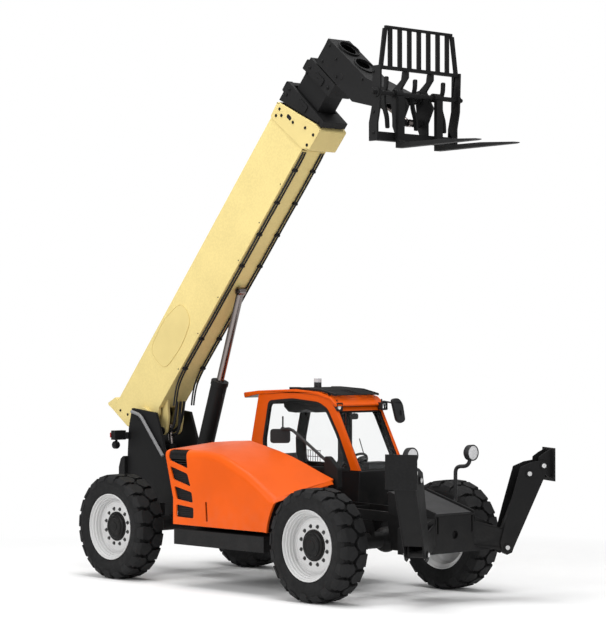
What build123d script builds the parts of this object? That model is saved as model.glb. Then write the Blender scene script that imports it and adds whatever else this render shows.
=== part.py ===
"""Telehandler: four wheels, side cab, four-section boom with fork carriage and two outriggers.

Units are millimetres. +X is forward, +Y is the machine's left and +Z is up. The origin is on the
ground under the middle of the machine's box. Lengths along the machine are given forward of the
rear axle and turned into the part's own frame by fwd(). The boom is drawn at its parked angle.
"""
from build123d import *
import os
from math import atan2, cos, degrees, hypot, radians, sin

os.makedirs("parts", exist_ok=True)

# Machine
WHEELBASE = 3626.0
REAR_AXLE_X = -2116.0
HALF_TRACK = 1094.0
AXLE_Z = 655.0
KINGPIN_Y = 880.0

# Tyres and rims
TYRE_R = 655.0
TYRE_WIDTH = 400.0
TREAD_R = 618.0
RIM_FLANGE_R = 408.0
BEAD_R = 368.0
LUGS_PER_SIDE = 20

# Frame plates and cab
FRAME_IN_Y = 270.0
FRAME_OUT_Y = 310.0
CAB_IN_Y = 330.0
CAB_OUT_Y = 1140.0
CAB_WALL = 45.0
HOOD_OUT_Y = 1200.0
HOOD_IN_Y = 420.0
ARCH_R = 820.0
SKIN = 25.0
GRILLE_BARS = 4

# Boom: u runs along it, v across it towards its back
BOOM_PIVOT = (-600.0, 2000.0)
BOOM_ANGLE = 49.4
BOOM_REACH = 4650.0
SECTIONS = {
    # name: half width, v low, v high, u of its rear end, u of its front end
    "base": (205.0, -125.0, 577.0, 150.0, 4500.0),
    "second": (172.0, -26.0, 545.0, 420.0, 4935.0),
    "third": (140.0, 6.0, 485.0, 600.0, 5375.0),
    "fly": (108.0, 34.0, 395.0, 780.0, 5560.0),
}
WALL = 12.0

# Pins that the cylinders work between, as (forward, up)
LIFT_BASE = (82.0, 871.0)
LIFT_EYE = (1036.0, 3609.0)
LEVEL_BASE = (-250.0, 1010.0)
LEVEL_EYE = (-359.0, 1871.0)
TILT_BASE = (3052.0, 6128.0)
TILT_PIVOT = (3970.0, 5830.0)
TILT_EYE = (4000.0, 5520.0)
FORK_SHAFT = (4146.0, 5820.0)

# Outriggers: b runs outwards in the leg's swing plane, which is splayed forwards
SPLAY = 27.0
LEG_PIVOT = (4940.0, 660.0, 605.0)
LEG_DEPTH = 250.0
LEG_CYLINDER_BASE = (-20.0, 150.0)
LEG_CYLINDER_EYE = (272.0, 845.0)
FOOT_PIN = (450.0, 935.0)


def fwd(distance):
    """X in the part's frame for a distance forward of the rear axle."""
    return REAR_AXLE_X + distance


def block(x0, x1, y0, y1, z0, z1):
    """A box between two corners, with x forward of the rear axle."""
    return Pos((fwd(x0) + fwd(x1)) / 2, (y0 + y1) / 2, (z0 + z1) / 2) * Box(
        abs(x1 - x0), abs(y1 - y0), abs(z1 - z0)
    )


def side_plate(points, y0, y1, round_r=0.0):
    """A plate whose outline is drawn from the side, in (forward, up) points."""
    low, high = min(y0, y1), max(y0, y1)
    face = make_face(Polyline(*[(fwd(x), low, z) for x, z in points], close=True))
    if round_r:
        face = fillet(face.vertices(), round_r)
    return extrude(face, amount=high - low, dir=(0, 1, 0))


def rod(start, end, radius):
    """A round bar between two points in the part's frame."""
    a, b = Vector(*start), Vector(*end)
    bottom = (Align.CENTER, Align.CENTER, Align.MIN)
    return Plane(origin=a, z_dir=(b - a).normalized()) * Cylinder(radius, (b - a).length, align=bottom)


def cross_pin(place, y0, y1, radius):
    """A round pin along Y at a (forward, up) place."""
    return rod((fwd(place[0]), min(y0, y1), place[1]), (fwd(place[0]), max(y0, y1), place[1]), radius)


def bent_tube(points, bend_r, radius):
    """A tube through 3-D points, given forward of the rear axle, with equal bends."""
    path = FilletPolyline(*[(fwd(x), y, z) for x, y, z in points], radius=bend_r)
    profile = Plane(origin=path @ 0, z_dir=path % 0) * Circle(radius)
    return sweep(profile, path=path)


def mirrored(shape):
    """The same thing on the machine's other side."""
    return mirror(shape, about=Plane.XZ)


def along(start, end, distance):
    """The point a distance from start towards end, in (forward, up)."""
    length = hypot(end[0] - start[0], end[1] - start[1])
    return (
        start[0] + (end[0] - start[0]) * distance / length,
        start[1] + (end[1] - start[1]) * distance / length,
    )


# Boom frame -------------------------------------------------------------------------------------

BOOM_AXIS = (cos(radians(BOOM_ANGLE)), sin(radians(BOOM_ANGLE)))
BOOM_PLANE = Plane(
    origin=(fwd(BOOM_PIVOT[0]), 0, BOOM_PIVOT[1]),
    x_dir=(BOOM_AXIS[0], 0, BOOM_AXIS[1]),
    z_dir=(0, -1, 0),
)


def boom_block(u0, u1, v0, v1, y0, y1):
    """A box in the boom's own directions."""
    return BOOM_PLANE * Pos((u0 + u1) / 2, (v0 + v1) / 2, -(y0 + y1) / 2) * Box(u1 - u0, v1 - v0, y1 - y0)


def boom_plate(points, y0, y1, round_r=0.0):
    """A side plate whose outline is in (u, v) points of the boom."""
    outline = [
        (
            BOOM_PIVOT[0] + u * BOOM_AXIS[0] - v * BOOM_AXIS[1],
            BOOM_PIVOT[1] + u * BOOM_AXIS[1] + v * BOOM_AXIS[0],
        )
        for u, v in points
    ]
    return side_plate(outline, y0, y1, round_r)


def box_section(name):
    """One hollow boom section, a welded box open at both ends."""
    half, low, high, rear, front = SECTIONS[name]
    outer = boom_block(rear, front, low, high, -half, half)
    inner = boom_block(rear - 1, front + 1, low + WALL, high - WALL, -half + WALL, half - WALL)
    return outer - inner


# Wheels -----------------------------------------------------------------------------------------

def tyre(x, side):
    """A tyre with two rows of staggered lugs, its axle along Y."""
    half = TYRE_WIDTH / 2
    profile = [
        (BEAD_R, -half + 70), (RIM_FLANGE_R - 4, -half + 40), (470, -half + 6), (540, -half),
        (590, -half + 14), (TREAD_R, -half + 60), (TREAD_R, half - 60), (590, half - 14),
        (540, half), (470, half - 6), (RIM_FLANGE_R - 4, half - 40), (BEAD_R, half - 70),
    ]
    face = make_face(Polyline(*[(r, w, 0) for r, w in profile], close=True))
    carcass = revolve(face, axis=Axis.Y)
    lug = lug_block(half)
    pitch = 360.0 / LUGS_PER_SIDE
    lugs = [Rot(0, i * pitch, 0) * lug for i in range(LUGS_PER_SIDE)]
    lugs += [Rot(0, (i + 0.5) * pitch, 0) * mirror(lug, about=Plane.XZ) for i in range(LUGS_PER_SIDE)]
    return Pos(fwd(x), side * HALF_TRACK, AXLE_Z) * carcass.fuse(*lugs)


def lug_block(half):
    """One slanted lug, from the middle of the tread out over its shoulder."""
    sections = [
        # across, lean, bottom, top, half width
        (6, 0, 590, TYRE_R, 34), (half - 60, 26, 590, TYRE_R - 2, 32), (half - 6, 40, 548, TYRE_R - 36, 28),
    ]
    faces = []
    for across, lean, bottom, top, wide in sections:
        corners = [(lean - wide - 8, bottom), (lean + wide + 8, bottom), (lean + wide, top), (lean - wide, top)]
        faces.append(make_face(Polyline(*[(x, across, z) for x, z in corners], close=True)))
    return loft(faces, ruled=True)


def rim(x, side):
    """A steel rim with a dished disc and a planetary hub on its outer side."""
    half = TYRE_WIDTH / 2
    rings = [
        (RIM_FLANGE_R, -half + 22), (RIM_FLANGE_R, -half + 30), (BEAD_R, -half + 66), (BEAD_R, half - 66),
        (RIM_FLANGE_R, half - 30), (RIM_FLANGE_R, half - 22), (394, half - 22), (352, half - 62),
        (352, 48), (320, 66), (215, 104), (150, 104), (150, 84), (205, 84), (300, 48), (352, 22),
        (352, -half + 62), (394, -half + 22),
    ]
    dish = revolve(make_face(Polyline(*[(r, w, 0) for r, w in rings], close=True)), axis=Axis.Y)
    cap = [
        (62, -134), (150, -134), (168, -110), (168, 94), (152, 112), (142, 150), (118, 172), (0, 172),
        (0, 66), (62, 66),
    ]
    wheel = dish + revolve(make_face(Polyline(*[(r, w, 0) for r, w in cap], close=True)), axis=Axis.Y)
    if side < 0:
        wheel = mirrored(wheel)
    return Pos(fwd(x), side * HALF_TRACK, AXLE_Z) * wheel


# Axles ------------------------------------------------------------------------------------------

def axle(x):
    """A steering drive axle: housing, differential, spring pads and the forks for the kingpins."""
    reach = KINGPIN_Y - 120
    tube = rod((fwd(x), -reach, AXLE_Z), (fwd(x), reach, AXLE_Z), 95)
    bulge = Pos(fwd(x), 0, AXLE_Z) * Sphere(150)
    nose = rod((fwd(x), 0, AXLE_Z), (fwd(x) + (260 if x < 1000 else -260), 0, AXLE_Z), 80)
    body = tube + bulge + nose
    for side in (-1, 1):
        body += block(x - 85, x + 85, side * FRAME_IN_Y, side * FRAME_OUT_Y, AXLE_Z, 900)
        body += block(x - 70, x + 70, side * (reach - 10), side * (reach + 20), AXLE_Z - 160, AXLE_Z + 160)
        for low in (-160, 130):
            body += block(x - 70, x + 70, side * reach, side * (KINGPIN_Y + 45), AXLE_Z + low, AXLE_Z + low + 30)
        pin = rod((fwd(x), side * KINGPIN_Y, AXLE_Z - 175), (fwd(x), side * KINGPIN_Y, AXLE_Z + 175), 26)
        gap = rod((fwd(x), side * KINGPIN_Y, AXLE_Z - 75), (fwd(x), side * KINGPIN_Y, AXLE_Z + 75), 30)
        body += pin - gap
    return body


def knuckle(x, side):
    """A steering knuckle between the axle's fork arms, with the spindle that the wheel turns on."""
    y = side * KINGPIN_Y
    body = rod((fwd(x), y, AXLE_Z - 120), (fwd(x), y, AXLE_Z + 120), 62)
    body += rod((fwd(x), y + side * 25, AXLE_Z), (fwd(x), side * (HALF_TRACK - 140), AXLE_Z), 110)
    body += rod((fwd(x), y, AXLE_Z), (fwd(x), side * (HALF_TRACK + 60), AXLE_Z), 59)
    body += block(x - 190, x - 40, y - 12, y + 12, AXLE_Z - 30, AXLE_Z + 30)
    for up in (-1, 1):
        body -= rod((fwd(x), y, AXLE_Z + up * 70), (fwd(x), y, AXLE_Z + up * 125), 28)
    return body


# Chassis ----------------------------------------------------------------------------------------

def main_frame():
    """Two deep side plates with the boom towers, tied together under and across."""
    outline = [
        (-856, 900), (-856, 1507), (-833, 1850), (-766, 2106), (-277, 2055), (-147, 1730), (60, 1100),
        (4450, 1000), (4450, 575), (4020, 575), (3960, 900), (3290, 900), (3200, 600), (430, 600), (350, 900),
    ]
    frame = side_plate(outline, FRAME_IN_Y, FRAME_OUT_Y)
    frame += side_plate(outline, -FRAME_OUT_Y, -FRAME_IN_Y)
    inner = (-FRAME_IN_Y, FRAME_IN_Y)
    frame += block(430, 3200, *inner, 600, 625)
    frame += block(-856, -826, *inner, 900, 1650)
    frame += block(4020, 4450, *inner, 575, 600)
    frame += block(3060, 3090, *inner, 600, 1020)
    frame += cross_pin(BOOM_PIVOT, -FRAME_OUT_Y - 2, FRAME_OUT_Y + 2, 55)
    frame += cross_pin(LEVEL_BASE, *inner, 31)
    frame += cross_pin(LIFT_BASE, *inner, 45)
    lug = [(0, 1000), (165, 1000), (140, 815), (24, 815)]
    for side in (-1, 1):
        frame += side_plate(lug, side * 225, side * FRAME_IN_Y)
    return frame


def counterweight():
    """The cast weight across the back, rounded at its top."""
    outline = [(-980, 560), (-980, 1330), (-940, 1440), (-890, 1476), (-856, 1476), (-856, 560)]
    return side_plate(outline, -FRAME_OUT_Y - 50, FRAME_OUT_Y + 50)


def front_frame():
    """The cross beam at the front, its sloping deck and the plates that the legs hinge on."""
    beam = block(4450, 4740, -640, 640, 575, 870)
    crown = [(-640, 870), (-260, 1000), (260, 1000), (640, 870)]
    face = make_face(Polyline(*[(fwd(4450), y, z) for y, z in crown], close=True))
    beam += extrude(face, amount=290, dir=(1, 0, 0))
    beam += block(4300, 4450, -FRAME_IN_Y, FRAME_IN_Y, 620, 645)
    web = [(3990, 1000), (3990, 1222), (4740, 1030), (4740, 900), (4460, 900)]
    deck = [(3950, 1215), (3950, 1240), (4740, 1040), (4740, 1015)]
    for side in (-1, 1):
        beam += side_plate(web, side * FRAME_OUT_Y, side * (FRAME_OUT_Y + 22))
        beam += side_plate(deck, side * 262, side * 600)
    legs = outrigger_brackets()
    return beam + legs + mirrored(legs)


def outrigger_brackets():
    """The left leg's two hinge plates, the box between them and the cylinder's base pins."""
    near = [(-430, 40), (-430, 330), (-20, 215), (40, 165), (52, 0), (37, -37), (0, -52), (-37, -37)]
    shape = leg_plate(near, 24, 24) + leg_plate(near, LEG_DEPTH - 48, 24)
    shape += leg_plate([(-430, 40), (-430, 60), (-70, 20), (-70, 0)], 24, LEG_DEPTH - 48)
    shape -= leg_rod(0, 0, 20, LEG_DEPTH - 20, 36)
    middle = LEG_DEPTH / 2
    for start, end in ((48, middle - 34), (middle + 34, LEG_DEPTH - 48)):
        shape += leg_rod(*LEG_CYLINDER_BASE, start, end, 24)
    return shape


# Outriggers -------------------------------------------------------------------------------------

LEG_BACK = Vector(-cos(radians(SPLAY)), sin(radians(SPLAY)), 0)
LEG_OUT = Vector(sin(radians(SPLAY)), cos(radians(SPLAY)), 0)


def leg_point(b, up, depth=0.0):
    """A point of the left outrigger: b outwards and up from its pivot, depth behind its front."""
    start = Vector(fwd(LEG_PIVOT[0]), LEG_PIVOT[1], LEG_PIVOT[2])
    return start + LEG_OUT * b + Vector(0, 0, up) + LEG_BACK * depth


def leg_plate(points, depth, thick):
    """A plate in the left leg's swing plane, from depth back by thick."""
    face = make_face(Polyline(*[leg_point(b, up, depth) for b, up in points], close=True))
    return extrude(face, amount=thick, dir=LEG_BACK)


def leg_rod(b, up, depth0, depth1, radius):
    """A pin along the left leg's hinge direction."""
    return rod(leg_point(b, up, depth0), leg_point(b, up, depth1), radius)


def leg_bar(start, end, depth, radius):
    """A round bar in the leg's swing plane, between two (b, up) points."""
    return rod(leg_point(*start, depth), leg_point(*end, depth), radius)


def outrigger_leg():
    """A channel leg: two flanges and the outer plate, with its pivot and foot pins."""
    flange = [
        (-60, -60), (0, -84), (60, -60), (84, 0), (445, 765), (500, 900), (500, 975), (440, 1000),
        (300, 978), (165, 925), (35, 490), (-84, 60),
    ]
    outer_plate = [(120, 98), (445, 765), (431, 771), (106, 105)]
    leg = leg_plate(flange, 0, 14) + leg_plate(flange, LEG_DEPTH - 14, 14)
    leg += leg_plate(outer_plate, 0, LEG_DEPTH)
    leg += leg_rod(0, 0, -16, LEG_DEPTH + 16, 34)
    leg += leg_rod(*FOOT_PIN, -12, LEG_DEPTH + 12, 26)
    middle = LEG_DEPTH / 2
    for start, end in ((-12, middle - 40), (middle + 40, LEG_DEPTH + 12)):
        leg += leg_rod(*LEG_CYLINDER_EYE, start, end, 24)
    return leg


def outrigger_foot():
    """The sole plate with its two webs, hung on the leg's upper pin."""
    foot = leg_plate([(556, 755), (575, 755), (575, 1140), (556, 1140)], -58, 367)
    web = [(558, 790), (558, 1130), (470, 1085), (400, 1035), (392, 900), (450, 860), (520, 800)]
    for depth in (22, LEG_DEPTH - 38):
        foot += leg_plate(web, depth, 16)
        foot -= leg_rod(*FOOT_PIN, depth - 2, depth + 18, 28)
    return foot


def outrigger_barrel():
    """The leg cylinder's barrel, bored for its rod."""
    return leg_cylinder_barrel(LEG_CYLINDER_BASE, LEG_CYLINDER_EYE, 560)


def leg_cylinder_barrel(base, tip, length):
    """A barrel in the leg's plane from its base eye, bored from its far end."""
    middle = LEG_DEPTH / 2
    near, far = along(base, tip, 36), along(base, tip, length)
    body = leg_bar(near, far, middle, 46)
    body += leg_rod(*base, middle - 30, middle + 30, 42)
    body -= leg_bar(along(base, tip, 90), along(base, tip, length + 5), middle, 27)
    return body - leg_rod(*base, middle - 31, middle + 31, 26)


def outrigger_rod():
    """The leg cylinder's rod with the eye round the leg's pin."""
    middle = LEG_DEPTH / 2
    base, tip = LEG_CYLINDER_BASE, LEG_CYLINDER_EYE
    body = leg_bar(along(base, tip, 110), along(tip, base, 30), middle, 25)
    body += leg_rod(*tip, middle - 30, middle + 30, 46)
    return body - leg_rod(*tip, middle - 31, middle + 31, 30)


# Cab and hood -----------------------------------------------------------------------------------

CAB_OUTLINE = [
    (870, 820), (2790, 820), (2835, 1384), (2475, 2225), (2330, 2300), (1650, 2350), (1000, 2310),
    (860, 1727), (870, 1380),
]


def cab_shell():
    """The hollow cab with its window and door openings and the overhanging roof."""
    shell = side_plate(CAB_OUTLINE, CAB_IN_Y, CAB_OUT_Y)
    hollow = [
        (915, 865), (2745, 865), (2788, 1380), (2440, 2190), (2315, 2255), (1650, 2303), (1040, 2268),
        (908, 1727), (915, 1400),
    ]
    shell -= side_plate(hollow, CAB_IN_Y + CAB_WALL, CAB_OUT_Y - CAB_WALL)
    right = [(1180, 1400), (2690, 1400), (2370, 2180), (1320, 2230)]
    shell -= side_plate(right, CAB_IN_Y - 1, CAB_IN_Y + CAB_WALL + 1, 25)
    rear_left = [(1010, 1400), (1690, 1400), (1690, 2235), (1120, 2235), (985, 1727)]
    shell -= side_plate(rear_left, CAB_OUT_Y - CAB_WALL - 1, CAB_OUT_Y + 1, 25)
    shell -= side_plate(DOOR_OPENING, CAB_OUT_Y - CAB_WALL - 1, CAB_OUT_Y + 1)
    inner = (CAB_IN_Y + 75, CAB_OUT_Y - 75)
    shell -= side_plate([(2650, 1405), (3000, 1405), (3000, 2150), (2300, 2150)], *inner)
    shell -= side_plate([(700, 1420), (1000, 1420), (1010, 2180), (700, 2180)], *inner)
    roof = [(724, 2325), (1000, 2352), (1673, 2383), (2340, 2322), (2470, 2240), (2420, 2235), (2320, 2280),
            (1650, 2340), (1000, 2305), (740, 2255)]
    shell += side_plate(roof, CAB_IN_Y - 10, CAB_OUT_Y + 10)
    return shell + block(1600, 1715, 695, 805, 2350, 2392)


DOOR_OPENING = [(1790, 850), (2735, 850), (2775, 1384), (2425, 2195), (2310, 2245), (1790, 2285)]
DOOR_OUTLINE = [(1797, 857), (2728, 857), (2767, 1384), (2419, 2189), (2307, 2238), (1797, 2277)]


def cab_door():
    """The glazed door frame, hinged along its rear edge."""
    door = side_plate(DOOR_OUTLINE, CAB_OUT_Y - 38, CAB_OUT_Y + 2)
    upper = [(1850, 1400), (2700, 1400), (2385, 2150), (2290, 2190), (1850, 2225)]
    lower = [(1850, 920), (2670, 920), (2700, 1340), (1850, 1340)]
    for window in (upper, lower):
        door -= side_plate(window, CAB_OUT_Y - 40, CAB_OUT_Y + 4, 25)
    return door


def hood_section(x, ridge, inner, low=755, inset=0.0):
    """A cross-section of the hood at x: outer wall up to the ridge, top across to the inner edge."""
    outer_y = -HOOD_OUT_Y + inset
    inner_y = -HOOD_IN_Y + inset
    ends = [(outer_y, low), (outer_y, ridge - inset), (inner_y, inner - inset), (inner_y, low)]
    return make_face(Polyline(*[(fwd(x), y, z) for y, z in ends], close=True))


HOOD_STATIONS = [
    # forward, ridge height, inner edge height
    (1140, 1655, 1735), (1700, 1650, 1765), (1978, 1619, 1710), (2486, 1418, 1590), (2898, 1164, 1450),
    (3173, 1010, 1360),
]


def hood():
    """The engine hood: a folded shell over the right side with the front wheel's arch cut in it."""
    outer = loft([hood_section(*station) for station in HOOD_STATIONS], ruled=True)
    inner_stations = [(1140 + SKIN, 1655, 1735)] + HOOD_STATIONS[1:-1] + [(3173 - SKIN, 1024, 1367)]
    inner = loft([hood_section(*s, low=700, inset=SKIN) for s in inner_stations], ruled=True)
    wheel = (fwd(WHEELBASE), AXLE_Z)
    arch = rod((wheel[0], -1300, wheel[1]), (wheel[0], -300, wheel[1]), ARCH_R)
    liner = rod((wheel[0], -1300, wheel[1]), (wheel[0], -300, wheel[1]), ARCH_R + SKIN) - arch
    shell = (outer - inner - arch) + (outer & liner)
    for vent in HOOD_VENTS:
        shell -= side_plate(vent, -HOOD_OUT_Y - 5, -HOOD_OUT_Y + SKIN + 5)
    return shell


HOOD_VENTS = [
    [(1190, 830), (1430, 830), (1410, 985), (1180, 1010)],
    [(1180, 1060), (1405, 1020), (1385, 1180), (1160, 1250)],
    [(1160, 1300), (1380, 1225), (1350, 1400), (1170, 1500)],
    [(1175, 1545), (1340, 1450), (1330, 1600), (1180, 1615)],
]


def hood_grilles():
    """A frame of bars behind each vent of the hood."""
    grilles = []
    y0, y1 = -HOOD_OUT_Y + 6, -HOOD_OUT_Y + 18
    for vent in HOOD_VENTS:
        outline = side_plate(vent, y0, y1)
        grille = outline - side_plate(offset_inside(vent, 14), y0 - 1, y1 + 1)
        left, right = min(x for x, _ in vent), max(x for x, _ in vent)
        low, high = min(z for _, z in vent), max(z for _, z in vent)
        for i in range(1, GRILLE_BARS + 1):
            x = left + i * (right - left) / (GRILLE_BARS + 1)
            grille += block(x - 5, x + 5, y0 + 2, y1 - 2, low, high) & outline
        grilles.append(grille)
    return Compound(children=grilles)


def offset_inside(points, margin):
    """The outline drawn in towards its middle by about margin."""
    cx = sum(p[0] for p in points) / len(points)
    cz = sum(p[1] for p in points) / len(points)
    out = []
    for x, z in points:
        reach = hypot(x - cx, z - cz)
        out.append((cx + (x - cx) * (1 - 1.4 * margin / reach), cz + (z - cz) * (1 - 1.4 * margin / reach)))
    return out


# Boom -------------------------------------------------------------------------------------------

def boom_base():
    """The cream base section with its foot, its front collar and the cylinders' ears."""
    half = SECTIONS["base"][0]
    foot = [(-327, 576), (-261, 100), (-130, -115), (60, -175), (190, -175), (260, -125), (260, 577)]
    base = box_section("base")
    for side in (-1, 1):
        base += boom_plate(foot, side * half, side * (half - 30))
        base += cross_pin(BOOM_PIVOT, side * (half - 30), side * (half + 55), 120)
    base += boom_block(-322, 150, 561, 577, -half + 30, half - 30)
    base -= cross_pin(BOOM_PIVOT, -400, 400, 57)
    collar = [(4425, 578), (4648, 590), (4840, -140), (4829, -250), (4520, -245), (4470, -125)]
    bore = boom_block(4400, 4900, SECTIONS["base"][1] + WALL, SECTIONS["base"][2] - WALL, -half + WALL, half - WALL)
    base += boom_plate(collar, -half - 20, half + 20) - bore
    u_eye, v_eye = to_boom(LIFT_EYE)
    lift_ear = [(u_eye - 230, -120), (u_eye + 210, -120), (u_eye + 60, v_eye - 62), (u_eye - 60, v_eye - 62)]
    base -= boom_block(u_eye - 400, u_eye + 170, -130, -100, -118, 118)
    for side in (-1, 1):
        base += boom_plate(lift_ear, side * 120, side * 150)
        base += cross_pin(LIFT_EYE, side * 60, side * 165, 40)
    u_low, v_low = to_boom(LEVEL_EYE)
    level_ear = [(u_low - 60, -60), (u_low + 190, -120), (u_low + 70, v_low - 50), (u_low - 70, v_low - 60)]
    for y in (-155, -72, 72, 155):
        base += boom_plate(level_ear, y - 12, y + 12)
    for side in (-1, 1):
        base += cross_pin(LEVEL_EYE, side * 40, side * 172, 30)
    return base


def to_boom(place):
    """(u, v) of a (forward, up) place at the parked angle."""
    dx, dz = place[0] - BOOM_PIVOT[0], place[1] - BOOM_PIVOT[1]
    return dx * BOOM_AXIS[0] + dz * BOOM_AXIS[1], -dx * BOOM_AXIS[1] + dz * BOOM_AXIS[0]


def boom_section(name, collar, collar_half):
    """A sliding section with the collar at its mouth that the next one runs in."""
    half, low, high, _, front = SECTIONS[name]
    bore = boom_block(front - 400, front + 5, low + WALL, high - WALL, -half + WALL, half - WALL)
    return box_section(name) + (boom_plate(collar, -collar_half, collar_half) - bore)


# Collars at the mouths of the sliding sections, as (u, v)
HEAD_IN_Y = 160.0
HEAD_OUT_Y = 180.0
HEAD_HOLE_R = 105.0
HEAD_HOLES = [(5735, 190), (5740, -120)]
SECOND_COLLAR = [(4665, 605), (4935, 605), (4935, -215), (4850, -215), (4858, -140)]
THIRD_COLLAR = [(5190, 440), (5190, 505), (5375, 505), (5375, -60), (5190, -60)]


def boom_fly():
    """The innermost section, a plain tube that carries the head."""
    return box_section("fly")


def boom_head():
    """The bent head, welded round the innermost section's end, that the carriage hangs on."""
    half, low, high, _, front = SECTIONS["fly"]
    outline = [
        (5390, 372), (5730, 396), (5750, -449), (5885, -905), (5960, -960), (5930, -1045), (5850, -1060),
        (5552, -734), (5395, -430), (5390, -60),
    ]
    head = boom_block(5390, 5730, 372, 390, -HEAD_OUT_Y, HEAD_OUT_Y)
    for side in (-1, 1):
        head += boom_plate(outline, side * HEAD_OUT_Y, side * HEAD_IN_Y)
        head += boom_block(5400, 5440, low + 30, 380, *sorted((side * half, side * HEAD_OUT_Y)))
    end = boom_plate([(5718, 390), (5730, 396), (5752, -449), (5738, -449)], -HEAD_OUT_Y, HEAD_OUT_Y)
    for u, v in HEAD_HOLES:
        end -= BOOM_PLANE * Pos(u, v, 0) * Rot(0, 90, 0) * Cylinder(HEAD_HOLE_R, 80)
    head += end
    head += boom_plate([(5738, -449), (5752, -449), (5885, -905), (5871, -905)], -HEAD_OUT_Y, HEAD_OUT_Y)
    for side in (-1, 1):
        head += cross_pin(TILT_PIVOT, side * 130, side * HEAD_OUT_Y, 60)
    head += cross_pin(TILT_BASE, -185, 185, 34)
    head -= boom_block(5300, front, low, high, -half, half)
    return head - cross_pin(TILT_PIVOT, -190, 190, 34)


# Cylinders --------------------------------------------------------------------------------------

BARREL_END = 12.0
ROD_GAP = 6.0


def barrel(base, tip, length, radius, bore_r, eye_r, eye_half, eye_bore):
    """A cylinder barrel from its base eye, bored from its far end."""
    near = along(base, tip, eye_bore + 8)
    far = along(base, tip, length)
    solid = rod((fwd(near[0]), 0, near[1]), (fwd(far[0]), 0, far[1]), radius)
    gland = along(base, tip, length - 60)
    solid += rod((fwd(gland[0]), 0, gland[1]), (fwd(far[0]), 0, far[1]), radius + 8)
    solid += cross_pin(base, -eye_half, eye_half, eye_r)
    start = along(base, tip, eye_r + BARREL_END)
    end = along(base, tip, length + 5)
    solid -= rod((fwd(start[0]), 0, start[1]), (fwd(end[0]), 0, end[1]), bore_r)
    return solid - cross_pin(base, -eye_half - 1, eye_half + 1, eye_bore)


def piston_rod(base, tip, start, radius, eye_r, eye_half, eye_bore):
    """A chrome rod that ends in an eye round its pin."""
    a = along(base, tip, start)
    b = along(tip, base, eye_r * 0.6)
    shaft = rod((fwd(a[0]), 0, a[1]), (fwd(b[0]), 0, b[1]), radius)
    return (shaft + cross_pin(tip, -eye_half, eye_half, eye_r)) - cross_pin(tip, -eye_half - 1, eye_half + 1, eye_bore)


# Carriage ---------------------------------------------------------------------------------------

SHAFT_R = 28.0
SHAFT_END = 700.0
SHAFT_TURNED = 45.0
SHAFT_END_R = 24.0
CARRIAGE_IN_Y = 640.0
CARRIAGE_OUT_Y = 670.0
FORK_HALF = 52.0
FORK_Y = {"left": 305.0, "right": -330.0}
BLADE_TOP = 5256.0


def carriage():
    """The fork carriage: side plates, centre mount, low beam and the load backrest."""
    side = [(4080, 6130), (4210, 6130), (4195, 5670), (4154, 5480), (4154, 5270), (4020, 5270), (4020, 5480),
            (4070, 5680)]
    frame = side_plate(side, CARRIAGE_IN_Y, CARRIAGE_OUT_Y) + side_plate(side, -CARRIAGE_OUT_Y, -CARRIAGE_IN_Y)
    frame += block(4022, 4116, -CARRIAGE_IN_Y, CARRIAGE_IN_Y, 5280, 5380)
    frame += block(4130, 4190, -CARRIAGE_OUT_Y, CARRIAGE_OUT_Y, 6090, 6128)
    for y in [i * 157.0 for i in range(-3, 4)]:
        frame += block(4155, 4180, y - 31, y + 31, 6128, 6590)
    frame += block(4150, 4185, -552, 552, 6560, 6592)
    for sign in (-1, 1):
        ends = [(sign * 650, 6128), (sign * 588, 6128), (sign * 520, 6560), (sign * 584, 6560)]
        face = make_face(Polyline(*[(fwd(4155), y, z) for y, z in ends], close=True))
        frame += extrude(face, amount=25, dir=(1, 0, 0))
    bracket = [(4110, 6092), (4200, 6092), (4200, 6015), (4090, 5890), (3975, 5905), (4095, 6000)]
    mount = [(3925, 5790), (3930, 5860), (3975, 5905), (4090, 5890), (4205, 5690), (4116, 5515), (4116, 5280),
             (4040, 5280), (3950, 5470), (3950, 5560)]
    for sign in (-1, 1):
        frame += side_plate(bracket, sign * 190, sign * 222)
        frame += side_plate(mount, sign * 190, sign * 222)
        frame += cross_pin(TILT_PIVOT, sign * 125, sign * 240, 32)
        frame += cross_pin(TILT_EYE, sign * 62, sign * 222, 44)
        frame += cross_pin(TILT_EYE, sign * 38, sign * 62, 25)
    return frame - fork_shaft()


def fork_shaft():
    """The round bar that the forks hang and slide on, with its ends turned down."""
    bar = cross_pin(FORK_SHAFT, -SHAFT_END, SHAFT_END, SHAFT_R)
    for side in (-1, 1):
        bar += cross_pin(FORK_SHAFT, side * SHAFT_END, side * (SHAFT_END + SHAFT_TURNED), SHAFT_END_R)
    return bar


def fork(y):
    """One pallet fork with its hanging eye."""
    blade = [(4165, 5198), (4215, 5198), (5370, 5214), (5412, 5220), (5412, 5230), (4900, BLADE_TOP),
             (4250, BLADE_TOP), (4215, 5290), (4215, 5790), (4165, 5790)]
    body = side_plate(blade, y - FORK_HALF, y + FORK_HALF)
    body += cross_pin(FORK_SHAFT, y - FORK_HALF - 4, y + FORK_HALF + 4, 52)
    return body - fork_shaft()



# Fixed pieces ---------------------------------------------------------------------------------

def engine_block():
    """The engine as one plain block on two feet."""
    block_body = block(1350, 2450, -1000, -500, 720, 1350)
    for x in (1500, 2250):
        block_body += block(x, x + 90, -520, -FRAME_OUT_Y, 760, 840)
    return block_body


def side_tank(side):
    """A tank slung outside the frame: fuel under the hood, oil under the cab."""
    if side < 0:
        return block(1160, 2800, -HOOD_OUT_Y + 12, -FRAME_OUT_Y, 512, 700)
    return block(1050, 2700, FRAME_OUT_Y, 1040, 540, 820)


def cab_steps():
    """Two treads hung below the door."""
    steps = None
    for z in (430, 640):
        tread = block(1950, 2450, 1040, 1180, z, z + 25)
        steps = tread if steps is None else steps + tread
    for x in (1950, 2430):
        steps += block(x, x + 20, 1040, 1060, 430, 760)
    return steps


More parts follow.
